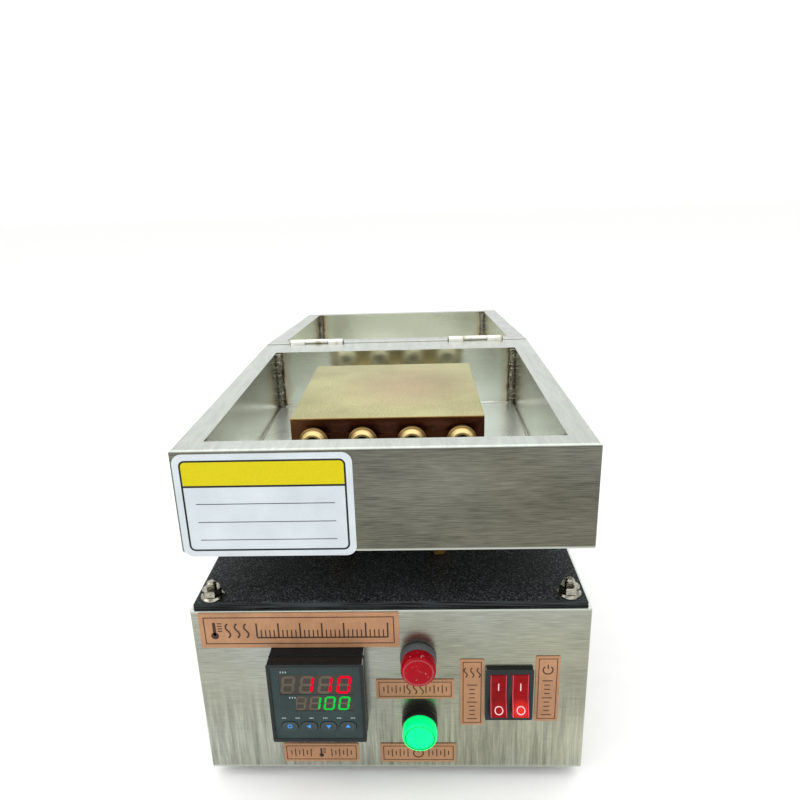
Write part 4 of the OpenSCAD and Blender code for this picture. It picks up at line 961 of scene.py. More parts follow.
def settings():
    """The user's settings."""
    scene = bpy.context.scene
    return scene.heater_colours, scene.heater_sizes, scene.heater_stage


class HEATER_OT_stage(bpy.types.Operator):
    """Lay the floor, light the scene and set the camera"""

    bl_idname = "heater.stage"
    bl_label = "Floor, Light and Camera"

    def execute(self, context):
        stage = settings()[2]
        scene = context.scene
        scene.view_settings.view_transform = "Standard"
        bm = bmesh.new()
        bmesh.ops.create_grid(bm, x_segments=1, y_segments=1, size=stage.floor_size / 2)
        mesh = bpy.data.meshes.new("studio_floor")
        bm.to_mesh(mesh)
        bm.free()
        mesh.materials.append(pale_floor("painted_studio_floor"))
        floor = bpy.data.objects.new("studio_floor", mesh)
        scene.collection.objects.link(floor)

        world = bpy.data.worlds.new("studio")
        scene.world = world
        world.use_nodes = True
        tree = world.node_tree
        tree.nodes.clear()
        even = add(tree, "Background", {"Color": (1, 1, 1, 1), "Strength": stage.sky})
        add(tree, "OutputWorld", {"Surface": even.outputs[0]})

        for name, power, size, place, target in (
            ("top_softbox", stage.top_light, 2.4, Vector((0.1, 0.25, 1.35)), Vector((0, 0, 0.1))),
            ("side_softbox", stage.side_light, 0.7, Vector((-0.9, -0.5, 0.8)), Vector((0, 0, 0.12))),
        ):
            light = bpy.data.lights.new(name, "AREA")
            light.energy, light.size = power, size
            lamp = bpy.data.objects.new(name, light)
            lamp.matrix_world = Matrix.Translation(place) @ (
                target - place
            ).to_track_quat("-Z", "Y").to_matrix().to_4x4()
            scene.collection.objects.link(lamp)

        # the camera looks slightly down from in front, and leans a little
        pitch, yaw, roll = 0.3098, -0.0394, -0.0325
        ahead = Vector((math.sin(yaw) * math.cos(pitch), math.cos(yaw) * math.cos(pitch), -math.sin(pitch)))
        level = Vector((math.cos(yaw), -math.sin(yaw), 0))
        upward = level.cross(ahead)
        right = math.cos(roll) * level + math.sin(roll) * upward
        up = math.cos(roll) * upward - math.sin(roll) * level
        camera = bpy.data.cameras.new("camera")
        camera.lens, camera.sensor_width = stage.camera_lens, 36
        camera.shift_x, camera.shift_y = 0.0058, -0.0141
        camera.clip_start, camera.clip_end = 0.01, 50
        eye_place = Matrix.Translation((0.01739, -0.36773, 0.30868))
        eye = bpy.data.objects.new("camera", camera)
        eye.matrix_world = eye_place @ Matrix((right, up, -ahead)).transposed().to_4x4()
        scene.collection.objects.link(eye)
        scene.camera = eye
        return {"FINISHED"}


class HEATER_OT_cabinet(bpy.types.Operator):
    """Finish the cabinet, its board, studs, nuts, screws and feet"""

    bl_idname = "heater.cabinet"
    bl_label = "Cabinet"

    def execute(self, context):
        colours, sizes, _ = settings()
        low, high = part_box("cabinet_shell")
        # painted reflection in upright streak marks low on the front, and painted highlights along the
        # bottom and top folded edges
        reflection_streak_heights = (low.z + 0.2 * (high.z - low.z), low.z + 0.6 * (high.z - low.z))
        dress(
            brushed_stainless(
                "brushed_stainless_cabinet", colours.outer_steel, colours.rim_steel, 0.34,
                reflection_streak_heights=reflection_streak_heights, fold_highlight_heights=(low.z, high.z),
            ),
            "cabinet_shell",
        )
        plain = rolled_stainless("rolled_stainless", [0.6 * c for c in colours.inner_steel])
        dress(plain, "bottom_plate", "wire_conduit", "chamber_base")

        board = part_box("insulation_board")
        half = board[1].x - 1 * MM

        def upper_edge(edge):
            """Whether an edge runs along the top of the board's outline."""
            return all(
                v.co.z > board[1].z - 0.1 * MM and max(abs(v.co.x), abs(v.co.y)) > half
                for v in edge.verts
            )

        eased_copy(
            "fibre_board", "insulation_board", fibre_board("pressed_fibre_board", colours.board, board),
            "cabinet", sizes.board_chamfer, upper_edge, 2,
        )

        plated = plated_fastener("nickel_plated_steel")
        studs, nuts = solids("board_studs"), solids("stud_flange_nuts")
        bm = bmesh.new()
        for low, high in studs:
            centre = middle((low, high))
            radius = (high.x - low.x) / 2
            core = radius - sizes.thread_depth
            turned(
                bm,
                [
                    (0, low.z), (core, low.z), (core, high.z - 0.5 * MM), (core - 0.5 * MM, high.z),
                    (0, high.z),
                ],
                (centre.x, centre.y, 0), Z, 32,
            )
            start = board[1].z + 4 * MM
            turns = (high.z - 0.9 * MM - start) / sizes.thread_pitch
            flank = [(core - 0.1 * MM, -0.3), (radius, -0.08), (radius, 0.08), (core - 0.1 * MM, 0.3)]
            ring = [
                bm.verts.new((centre.x + r, centre.y, start + d * sizes.thread_pitch)) for r, d in flank
            ]
            face = bm.faces.new(ring)
            steps = int(32 * turns)
            bmesh.ops.spin(
                bm, geom=[face, *face.edges, *face.verts], cent=(centre.x, centre.y, 0), axis=Z,
                dvec=(0, 0, sizes.thread_pitch / 32), angle=math.tau * turns, steps=steps,
            )
        make_piece("threaded_studs", bm, plated, "cabinet", ["board_studs"], 25)

        bm = bmesh.new()
        for low, high in nuts:
            centre = middle((low, high))
            flange = (high.x - low.x) / 2
            turned(
                bm,
                [
                    (0, low.z), (flange - 0.15 * MM, low.z), (flange, low.z + 0.2 * MM),
                    (flange, low.z + 0.6 * MM), (sizes.nut_radius + 0.05 * MM, low.z + 1.4 * MM),
                    (0, low.z + 1.4 * MM),
                ],
                (centre.x, centre.y, 0), Z, 40,
            )
            hexagon(
                bm, centre + 0.4 * MM * Z, sizes.nut_radius, high.z - low.z - 0.8 * MM, 0.4 * MM,
                base=False,
            )
        make_piece("flange_nuts", bm, plated, "cabinet", ["stud_flange_nuts"], 30)
        dress(plated, "stud_lower_nuts", "pillar_screws", "foot_screws", "block_bolts", "hinge_pins")

        bm = bmesh.new()
        for low, high in solids("m3_screws"):
            centre = middle((low, high))
            size = high - low
            lying = size.y > size.x + 1 * MM
            head = max(size.x, size.z if lying else size.y) / 2
            length = size.y if lying else size.z
            if lying:
                base, out = Vector((centre.x, high.y - 1.8 * MM, centre.z)), Y
            elif high.z > 15 * MM:
                base, out = Vector((centre.x, centre.y, high.z - 1.8 * MM)), Z
            else:
                base, out = Vector((centre.x, centre.y, low.z + 1.8 * MM)), -Z
            shank = 1.8 * MM - length
            turned(
                bm,
                [
                    (0, shank), (1.5 * MM, shank), (1.5 * MM, 0), (head, 0), (head, 0.5 * MM),
                    (0.86 * head, 1.2 * MM), (0.6 * head, 1.65 * MM), (0.45 * head, 1.75 * MM),
                    (0.4 * head, 1.7 * MM), (0.36 * head, 0.8 * MM), (0, 0.7 * MM),
                ],
                base, out, 24,
            )
        make_piece("button_head_screws", bm, plated, "cabinet", ["m3_screws"], 30)

        bm = bmesh.new()
        for low, high in solids("rubber_feet"):
            centre = middle((low, high))
            top = (high.x - low.x) / 2
            turned(
                bm,
                [
                    (4.0 * MM, 0), (7.6 * MM, 0), (8.5 * MM, 0.35 * MM), (9.0 * MM, 1.2 * MM),
                    (top - 0.6 * MM, high.z - 2.0 * MM), (top, high.z - 1.2 * MM), (top, high.z),
                    (2.25 * MM, high.z), (2.25 * MM, 3.5 * MM), (4.0 * MM, 3.5 * MM),
                ],
                (centre.x, centre.y, 0), Z, 48, bored=True,
            )
        rubber = moulded_plastic("moulded_rubber", linear("#1c1c1d"), 0.7, 0.0, 0.6, 0.5)
        make_piece("rubber_bumpers", bm, rubber, "cabinet", ["rubber_feet"])
        return {"FINISHED"}


def weld_beads(name, side_x, fronts, bottom, top, place, body, replaced, material, radius):
    """Four upright beads in the corners of a well, with the ripples that welding leaves."""
    bm = bmesh.new()
    for sign in (-1, 1):
        for y, inward in fronts:
            part = bmesh.new()
            centre = Vector((sign * (side_x - 0.9 * MM), y + inward * 0.9 * MM, (bottom + top) / 2))
            bmesh.ops.create_cone(
                part, cap_ends=True, segments=14, radius1=radius, radius2=radius, depth=top - bottom,
                matrix=Matrix.Translation(centre),
            )
            rising = [e for e in part.edges if abs(e.verts[0].co.z - e.verts[1].co.z) > 1 * MM]
            bmesh.ops.subdivide_edges(part, edges=rising, cuts=70, use_grid_fill=True)
            for vert in part.verts:
                out = vert.co - Vector((centre.x, centre.y, vert.co.z))
                ripple = 0.07 * math.sin(math.tau * vert.co.z / (1.7 * MM))
                lump = 0.3 * noise.noise(vert.co * 420) + 0.34 * noise.noise(vert.co * 110)
                vert.co += out * (ripple + lump)
            join(bm, part)
    bmesh.ops.transform(bm, matrix=place, verts=bm.verts[:])
    make_piece(name, bm, material, body, replaced, 50)


def floor_seams(name, side_x, y0, y1, height, place, body, material, radius):
    """The rounded seams where the floor of a well meets its walls."""
    bm = bmesh.new()
    side_x, y0, y1 = side_x + 0.4 * MM, y0 - 0.4 * MM, y1 + 0.4 * MM
    wide = 2 * radius
    for sign in (-1, 1):
        inner, outer = sorted((sign * (side_x - wide), sign * side_x))
        slab(bm, (inner, y0, height - radius), (outer, y1, height + radius), 0.9 * radius, 3)
    for low, high in ((y0, y0 + wide), (y1 - wide, y1)):
        slab(bm, (-side_x, low, height - radius), (side_x, high, height + radius), 0.9 * radius, 3)
    bmesh.ops.transform(bm, matrix=place, verts=bm.verts[:])
    make_piece(name, bm, material, body)


class HEATER_OT_chamber(bpy.types.Operator):
    """Finish the chamber: walls, floor, welds, seams and pillars"""

    bl_idname = "heater.chamber"
    bl_label = "Chamber"

    def execute(self, context):
        colours, sizes, _ = settings()
        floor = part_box("chamber_floor")
        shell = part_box("chamber_shell")
        low = Vector((floor[0].x - 0.5 * MM, floor[0].y - 0.5 * MM, floor[0].z - 5 * MM))
        high = Vector((floor[1].x + 0.5 * MM, floor[1].y + 0.5 * MM, shell[1].z + 5 * MM))
        # painted highlight along the shell's bottom folded edge
        steel = brushed_stainless(
            "brushed_stainless_chamber", colours.chamber_steel, colours.rim_steel, 0.5,
            colours.inner_steel, (low, high, sizes.bead_radius), fold_highlight_heights=(shell[0].z,),
        )
        dress(steel, "chamber_shell")
        liner = rolled_stainless("rolled_stainless_floor", linear("#e0e8e4"), 0.8)
        dress(liner, "chamber_floor")
        dress(needled_wool("needled_glass_wool"), "chamber_insulation", "lid_insulation")
        weld = scaled_weld("stainless_weld_scale")
        weld_beads(
            "chamber_corner_welds", floor[1].x, ((floor[0].y, 1), (floor[1].y, -1)), floor[1].z,
            shell[1].z - BEAD_STOP, Matrix(), "cabinet", ["chamber_weld_beads"], weld, sizes.bead_radius,
        )
        bright = rolled_stainless("ground_stainless_seam", linear("#d9dad5"))
        floor_seams(
            "chamber_floor_seams", floor[1].x, floor[0].y, floor[1].y, floor[1].z, Matrix(), "cabinet",
            bright, sizes.seam_radius,
        )

        bm = bmesh.new()
        for low, high in solids("chamber_pillars"):
            hexagon(bm, middle((low, high)), (high.y - low.y) / 2, high.z - low.z, 0.6 * MM)
        make_piece(
            "hexagon_pillars", bm, turned_brass("drawn_brass", linear("#b08a48")), "cabinet",
            ["chamber_pillars"], 30,
        )
        return {"FINISHED"}


class HEATER_OT_block(bpy.types.Operator):
    """Finish the brass block, its bushes and the heater under it"""

    bl_idname = "heater.block"
    bl_label = "Heating Block"

    def execute(self, context):
        colours, sizes, _ = settings()
        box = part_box("heating_block")

        def outline(edge):
            """Whether an edge is on the block's outline, and not round a well."""
            return edge.calc_length() > 20 * MM

        brass = heat_toned_brass("heat_toned_brass", colours.block_top, colours.block_side, box)
        eased_copy(
            "brass_block", "heating_block", brass, "cabinet", sizes.block_edge, outline,
        )

        for name, node, out in (
            ("front_well_bushes", "front_bushes", -Y), ("rear_well_bushes", "rear_bushes", Y),
        ):
            face = box[0].y if out.y < 0 else box[1].y
            bm = bmesh.new()
            for low, high in solids(node):
                spot = middle((low, high))
                nose = (spot.y - low.y if out.y < 0 else high.y - spot.y) * 2
                tip = abs((low.y if out.y < 0 else high.y) - face)
                collar, bore, shank = (high.x - low.x) / 2, sizes.well_radius, sizes.bush_radius
                turned(
                    bm,
                    [
                        (bore, tip - nose), (shank, tip - nose), (shank, 0), (collar - 0.2 * MM, 0),
                        (collar, 0.25 * MM), (collar, 2.1 * MM), (collar - 0.35 * MM, 2.5 * MM),
                        (6.9 * MM, 2.5 * MM), (6.7 * MM, 2.7 * MM), (5.75 * MM, tip - 0.35 * MM),
                        (5.45 * MM, tip), (bore + 0.5 * MM, tip), (bore, tip - 0.5 * MM),
                    ],
                    (spot.x, face, spot.z), out, 48, bored=True,
                )
            # painted light: the rear bushes get a much paler brass than the front ones, as if lit from
            # above
            toned = turned_brass(
                "turned_brass_" + name, colours.bush if out.y < 0 else linear("#f6edcf"),
                linear("#85683a") if out.y < 0 else None, (face, 3.7 * MM),
            )
            make_piece(name, bm, toned, "cabinet", [node], 28)

        milled = plated_fastener("milled_aluminium", "#b9bcbe")
        dress(milled, "heater_plate")
        dress(plated_fastener("dull_stainless_sheath", "#8a8a88"), "cartridge_heaters", "temperature_probe")
        dress(braided_sleeve("braided_glass_sleeve", "#cfc6ac"), "heater_leads")
        return {"FINISHED"}


class HEATER_OT_lid(bpy.types.Operator):
    """Finish the lid: walls, liner, welds and seams"""

    bl_idname = "heater.lid"
    bl_label = "Lid"

    def execute(self, context):
        colours, sizes, _ = settings()
        # the lid's own upright frame: the hinge axis is its origin and its rim faces up
        back = LID_PLACE.inverted()
        liner = [back @ v.co for v in NODES["lid_liner"].data.vertices]
        lows = [min(p[i] for p in liner) for i in range(3)]
        highs = [max(p[i] for p in liner) for i in range(3)]
        low = Vector((lows[0] - 0.5 * MM, lows[1] - 0.5 * MM, lows[2] - 5 * MM))
        high = Vector((highs[0] + 0.5 * MM, highs[1] + 0.5 * MM, 5 * MM))
        turn = (back.to_translation(), (LEAN, 0, 0))
        # painted shade: the lid's steel is the cabinet's steel darkened to 0.75, and its rims to 0.8
        dress(
            brushed_stainless(
                "brushed_stainless_lid", [0.75 * c for c in colours.outer_steel],
                [0.8 * c for c in colours.rim_steel], 0.25, colours.inner_steel,
                (low, high, sizes.bead_radius), turn,
            ),
            "lid_shell",
        )
        dress(rolled_stainless("rolled_stainless_liner", colours.inner_steel), "lid_liner")
        weld = scaled_weld("stainless_weld_scale_lid")
        top = -1.4 * MM - BEAD_STOP
        weld_beads(
            "lid_corner_welds", highs[0], ((lows[1], 1), (highs[1], -1)), highs[2], top, LID_PLACE, "lid",
            ["lid_weld_beads"], weld, 0.85 * sizes.bead_radius,
        )
        bright = rolled_stainless("ground_stainless_seam_lid", linear("#d9dad5"))
        floor_seams(
            "lid_liner_seams", highs[0], lows[1], highs[1], highs[2], LID_PLACE, "lid", bright,
            sizes.seam_radius,
        )

        hinge = toned_hinge_steel("toned_hinge_stainless")
        eased_copy(
            "chamber_hinge_halves", "chamber_hinge_leaves", hinge, "cabinet", 0.15 * MM,
        )
        eased_copy("lid_hinge_halves", "lid_hinge_leaves", hinge, "lid", 0.15 * MM)
        return {"FINISHED"}


SEGMENTS = {
    "a": ((-1, 1), (1, 1)), "b": ((1, 1), (1, 0)), "c": ((1, 0), (1, -1)), "d": ((-1, -1), (1, -1)),
    "e": ((-1, 0), (-1, -1)), "f": ((-1, 1), (-1, 0)), "g": ((-1, 0), (1, 0)),
}
DIGITS = {" ": "", "0": "abcdef", "1": "bc"}


def display(bm_lit, bm_dark, text, right, centre_z, height, pitch, width, stroke, front):
    """A row of seven-segment digits that lean to the right, ending at right."""
    lean = Matrix()
    lean[0][2], lean[0][3] = 0.17, -0.17 * centre_z
    for place, digit in enumerate(reversed(text)):
        centre_x = right - place * pitch
        for name, (start, end) in SEGMENTS.items():
            bm = bm_lit if name in DIGITS[digit] else bm_dark
            half_w, half_h = (width - stroke) / 2, (height - stroke) / 2
            ends = [Vector((centre_x + x * half_w, front, centre_z + z * half_h)) for x, z in (start, end)]
            gap = (ends[1] - ends[0]).normalized() * stroke * 0.08
            bar(bm, ends[0] + gap, ends[1] - gap, stroke, 0.04 * MM, 0.42, lean)


class HEATER_OT_controller(bpy.types.Operator):
    """Finish the controller: case, face, display, keys and their symbols"""

    bl_idname = "heater.controller"
    bl_label = "Temperature Controller"

    def execute(self, context):
        colours, sizes, _ = settings()
        case = moulded_plastic("moulded_black_abs", colours.meter, 0.34, 0.1, 0.7, 0.3, edge_highlight=0.7)
        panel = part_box("cabinet_shell")[0].y

        def bezel(edge):
            """Whether an edge is on the part of the case that stands out of the panel."""
            return all(v.co.y < panel - 0.5 * MM for v in edge.verts) and edge.calc_length() > 5 * MM

        eased_copy(
            "controller_bezel", "controller_case", case, "cabinet", sizes.moulded_edge,
            bezel,
        )
        dress(case, "controller_clip")
        dress(
            moulded_plastic("printed_slate_film", colours.meter_face, 0.45, 0.0, 0.6, 0.1, 1.2),
            "controller_face",
        )
        dress(
            moulded_plastic("smoked_acrylic", linear("#37332c"), 0.3, 0.0, 0.35, 0.1, 1.25),
            "controller_windows",
        )
        dress(moulded_plastic("lacquered_circuit_board", linear("#1f5c3a"), 0.4, 0.4), "display_board")

        upper, lower = sorted(solids("controller_windows"), key=lambda b: -b[0].z)
        glass = upper[0].y - 0.02 * MM
        red, green, dark = bmesh.new(), bmesh.new(), bmesh.new()
        centre = middle(upper)
        display(
            red, dark, " 110", upper[1].x - 4.8 * MM, centre.z - 0.1 * MM, 10.7 * MM, 9.3 * MM, 6.9 * MM,
            1.45 * MM, glass,
        )
        centre = middle(lower)
        display(
            green, dark, " 100", lower[1].x - 4.5 * MM, centre.z, 8.4 * MM, 7.3 * MM, 5.6 * MM, 1.05 * MM,
            glass,
        )
        make_piece(
            "upper_display_digits", red, lit_segment("lit_red_led", colours.red_digit, 1.0), "cabinet",
        )
        make_piece(
            "lower_display_digits", green, lit_segment("lit_green_led", colours.green_digit, 0.95),
            "cabinet",
        )
        make_piece(
            "unlit_display_segments", dark, moulded_plastic("unlit_led_epoxy", linear("#524a3d"), 0.4),
            "cabinet",
        )

        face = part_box("controller_face")
        keys = ("mode_key", "shift_key", "down_key", "up_key")
        white = screen_ink("white_screen_ink", linear("#aab4b6"))
        blue = screen_ink("blue_screen_ink", linear("#3f8fd8"), 1.2)
        centre_x = middle(face).x
        bm = bmesh.new()
        y = face[0].y - sizes.print_thickness / 2
        row = middle(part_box("mode_key")).z + 5.2 * MM
        for i in range(6):
            x = centre_x + (i - 2.5) * 7.0 * MM
            for part in (-0.8, 0.0, 0.8):
                bar(
                    bm, (x + part * MM - 0.25 * MM, y, row), (x + part * MM + 0.25 * MM, y, row),
                    0.55 * MM, sizes.print_thickness, 0.2,
                )
        for x, z in (
            (upper[0].x + 1.2 * MM, upper[1].z + 1.6 * MM),
            (lower[0].x - 2.6 * MM, lower[1].z - 1.0 * MM),
        ):
            for step in (0, 1.3 * MM, 2.6 * MM):
                bar(
                    bm, (x + step, y, z - 0.5 * MM), (x + step, y, z + 0.5 * MM), 0.4 * MM,
                    sizes.print_thickness, 0.2,
                )
        make_piece("face_index_marks", bm, white, "cabinet")

        for i, key in enumerate(keys):
            low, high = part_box(key)
            spot = Vector((middle((low, high)).x, low.y, middle((low, high)).z))
            tall = high.z - low.z
            bm = bmesh.new()
            slab(bm, low, (high.x, low.y + 1.2 * MM, high.z), 0.47 * tall, 8, along=Y)
            faces = [f for f in bm.faces if f.normal.y < -0.9]
            for thickness, sink in ((0.3 * MM, 0.0), (0.8 * MM, 0.6 * sizes.dish), (0.7 * MM, sizes.dish)):
                bmesh.ops.inset_region(bm, faces=faces, thickness=thickness, use_boundary=True)
                for vert in faces[0].verts:
                    vert.co.y = low.y + sink
            film = moulded_plastic("domed_key_film_" + key, linear("#2c373a"), 0.35, 0.1, 0.5, 0.1)
            make_piece(key.replace("_key", "_button"), bm, film, key, [key], 60)
            bm = bmesh.new()
            y = spot.y + sizes.dish - 0.04 * MM
            if i == 0:
                turned(
                    bm, [(0.75 * MM, 0), (1.25 * MM, 0), (1.25 * MM, 0.06 * MM), (0.75 * MM, 0.06 * MM)],
                    (spot.x, y, spot.z), Y, 24, bored=True,
                )
            else:
                heading = {1: math.pi / 2, 2: math.pi, 3: 0.0}[i]
                turn = Matrix.Rotation(-heading, 4, "Y") @ Matrix.Rotation(math.pi / 2, 4, "X")
                place = Matrix.Translation((spot.x, y, spot.z)) @ turn
                bmesh.ops.create_cone(
                    bm, cap_ends=True, segments=3, radius1=1.45 * MM, radius2=1.45 * MM, depth=0.08 * MM,
                    matrix=place,
                )
            make_piece(key.replace("_key", "_symbol"), bm, blue, key)
        return {"FINISHED"}


class HEATER_OT_lamps(bpy.types.Operator):
    """Finish the two pilot lamps"""

    bl_idname = "heater.lamps"
    bl_label = "Pilot Lamps"

    def execute(self, context):
        colours, sizes, _ = settings()
        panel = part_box("cabinet_shell")[0].y
        # the heating lens's small glow of 0.08 is painted light standing in for light through the clear
        # plastic
        for which, colour, glow, wear, ring in (
            ("heating", colours.red_lens, 0.08, 0.55, "#4a4b4e"),
            ("power", colours.green_lens, 1.7, 0.0, "#0c0f10"),
        ):
            lens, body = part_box(which + "_lamp_lens"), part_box(which + "_lamp_body")
            spot = middle(lens)
            radius = (lens[1].x - lens[0].x) / 2
            out = panel - lens[0].y
            base = out - sizes.drum_length
            bm = bmesh.new()
            turned(
                bm,
                [
                    (0, base - 0.6 * MM), (radius - 1.4 * MM, base - 0.6 * MM), (radius - 1.4 * MM, base),
                    (radius - 0.25 * MM, base), (radius, base + 0.3 * MM), (radius, out - 1.3 * MM),
                    (radius - 0.15 * MM, out - 0.7 * MM), (radius - 0.55 * MM, out - 0.2 * MM),
                    (radius - 1.1 * MM, out), (radius - 1.7 * MM, out),
                    (radius - 1.95 * MM, out - 0.3 * MM), (radius - 2.3 * MM, out - 0.3 * MM),
                    (0.55 * radius, out - 0.12 * MM), (0.25 * radius, out - 0.02 * MM), (0, out),
                ],
                (spot.x, panel, spot.z), -Y, 64,
            )
            lamp = tinted_lens(
                "tinted_polycarbonate_" + which, colour, glow, Vector((spot.x, lens[0].y, spot.z)),
                radius, wear,
            )
            make_piece(
                which + "_lens", bm, lamp, "cabinet",
                [which + "_lamp_lens"], 30,
            )

            bezel = (body[1].x - body[0].x) / 2
            tail = panel - body[1].y
            bm = bmesh.new()
            turned(
                bm,
                [
                    (radius - 1.2 * MM, base - 3.4 * MM), (radius - 1.2 * MM, base - 0.1 * MM),
                    (bezel - 0.6 * MM, base - 0.1 * MM), (bezel - 0.3 * MM, base - 0.35 * MM),
                    (bezel, base - 2.6 * MM), (bezel - 0.35 * MM, base - 2.75 * MM),
                    (bezel - 0.35 * MM, base - 3.1 * MM), (bezel, base - 3.25 * MM),
                    (bezel - 0.05 * MM, 0.05 * MM), (7.9 * MM, 0.0), (7.9 * MM, tail), (6.4 * MM, tail),
                    (6.4 * MM, -6 * MM), (4 * MM, -6 * MM),
                ],
                (spot.x, panel, spot.z), -Y, 64, bored=True,
            )
            shade = moulded_plastic("moulded_nylon_" + which, linear(ring), 0.42, 0.1, 0.5, 0.2)
            make_piece(
                which + "_bezel", bm, shade, "cabinet",
                [which + "_lamp_body"], 30,
            )
        dress(moulded_plastic("moulded_nylon_nut", linear("#26292b"), 0.45), "lamp_nuts")
        return {"FINISHED"}


class HEATER_OT_switches(bpy.types.Operator):
    """Finish the double rocker switch and its marks"""

    bl_idname = "heater.switches"
    bl_label = "Rocker Switches"

    def execute(self, context):
        colours = settings()[0]
        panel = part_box("cabinet_shell")[0].y
        black = moulded_plastic("moulded_switch_nylon", linear("#161b1c"), 0.34, 0.1, 0.6, 0.2, edge_highlight=0.6)

        def proud(edge):
            """Whether an edge is in front of the panel."""
            return all(v.co.y < panel + 0.5 * MM for v in edge.verts) and edge.calc_length() > 3 * MM

        eased_copy("switch_frame", "switch_housing", black, "cabinet", 0.3 * MM, proud)
        dress(turned_brass("stamped_brass", linear("#c2a565")), "switch_terminals")
        ink = screen_ink("pink_screen_ink", linear("#f0b9bd"))
        for name, glow in (("heating_rocker", 0.1), ("power_rocker", 0.8)):
            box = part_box(name)
            centre = middle(box)
            pivot = Vector(JOINTS[name + "_pivot"]["pos_m"])
            width = box[1].x - box[0].x
            spot = Vector((centre.x, box[0].y, pivot.z - 6 * MM))
            red = clear_red_rocker(
                "clear_red_polycarbonate_" + name, colours.rocker, centre, width / 2, glow, spot,
            )
            eased_copy(
                name.replace("rocker", "paddle"), name, red, name, 0.45 * MM,
                lambda edge: True, 3,
            )
            # the rocker's face is a shallow V: its upper half is level, and its lower half leans out
            face = pivot.y - 5 * MM
            slope = math.radians(24)
            bm = bmesh.new()
            bar(
                bm, (centre.x, face - 0.03 * MM, pivot.z + 3.4 * MM),
                (centre.x, face - 0.03 * MM, pivot.z + 8.0 * MM), 0.5 * MM, 0.1 * MM, 0.3,
            )
            down = 6.4 * MM
            ring = Vector((centre.x, face - math.tan(slope) * down - 0.05 * MM, pivot.z - down))
            normal = Vector((0, -math.cos(slope), math.sin(slope)))
            turned(
                bm,
                [
                    (1.75 * MM, -0.06 * MM), (2.2 * MM, -0.06 * MM), (2.2 * MM, 0.06 * MM),
                    (1.75 * MM, 0.06 * MM),
                ],
                ring, normal, 40, bored=True,
            )
            make_piece(name.replace("rocker", "marks"), bm, ink, name)
        return {"FINISHED"}


def wave_lines(bm, x, z, y, size, stroke, thickness):
    """Three rising wavy lines, a plain mark for heat."""
    for offset in (-1, 0, 1):
        points = []
        for step in range(9):
            sway = 0.14 * size * math.sin(math.tau * step / 8)
            points.append(Vector((x + offset * 0.55 * size + sway, y, z + (step / 8 - 0.5) * size)))
        for start, end in zip(points, points[1:]):
            bar(bm, start, end, stroke, thickness, 0.3)


def power_mark(bm, x, z, y, size, stroke, thickness):
    """An open ring with a bar, a plain mark for power."""
    steps = 14
    points = []
    for i in range(steps + 1):
        turn = math.radians(125 + 290 * i / steps)
        across, up = 0.42 * size * math.cos(turn), 0.42 * size * math.sin(turn)
        points.append(Vector((x + across, y, z - 0.05 * size + up)))
    for start, end in zip(points, points[1:]):
        bar(bm, start, end, stroke, thickness, 0.2)
    bar(bm, (x, y, z + 0.05 * size), (x, y, z + 0.5 * size), stroke, thickness, 0.3)


def thermometer(bm, x, z, y, size, stroke, thickness):
    """A stem with a bulb and graduations, a plain mark for temperature."""
    turned(
        bm,
        [
            (0, -thickness / 2), (0.2 * size, -thickness / 2), (0.2 * size, thickness / 2),
            (0, thickness / 2),
        ],
        (x, y, z - 0.3 * size), -Y, 24,
    )
    bar(bm, (x, y, z - 0.3 * size), (x, y, z + 0.5 * size), 0.16 * size, thickness, 0.3)
    for step in range(4):
        height = z - 0.02 * size + step * 0.15 * size
        bar(bm, (x + 0.16 * size, y, height), (x + 0.4 * size, y, height), 0.6 * stroke, thickness, 0.2)


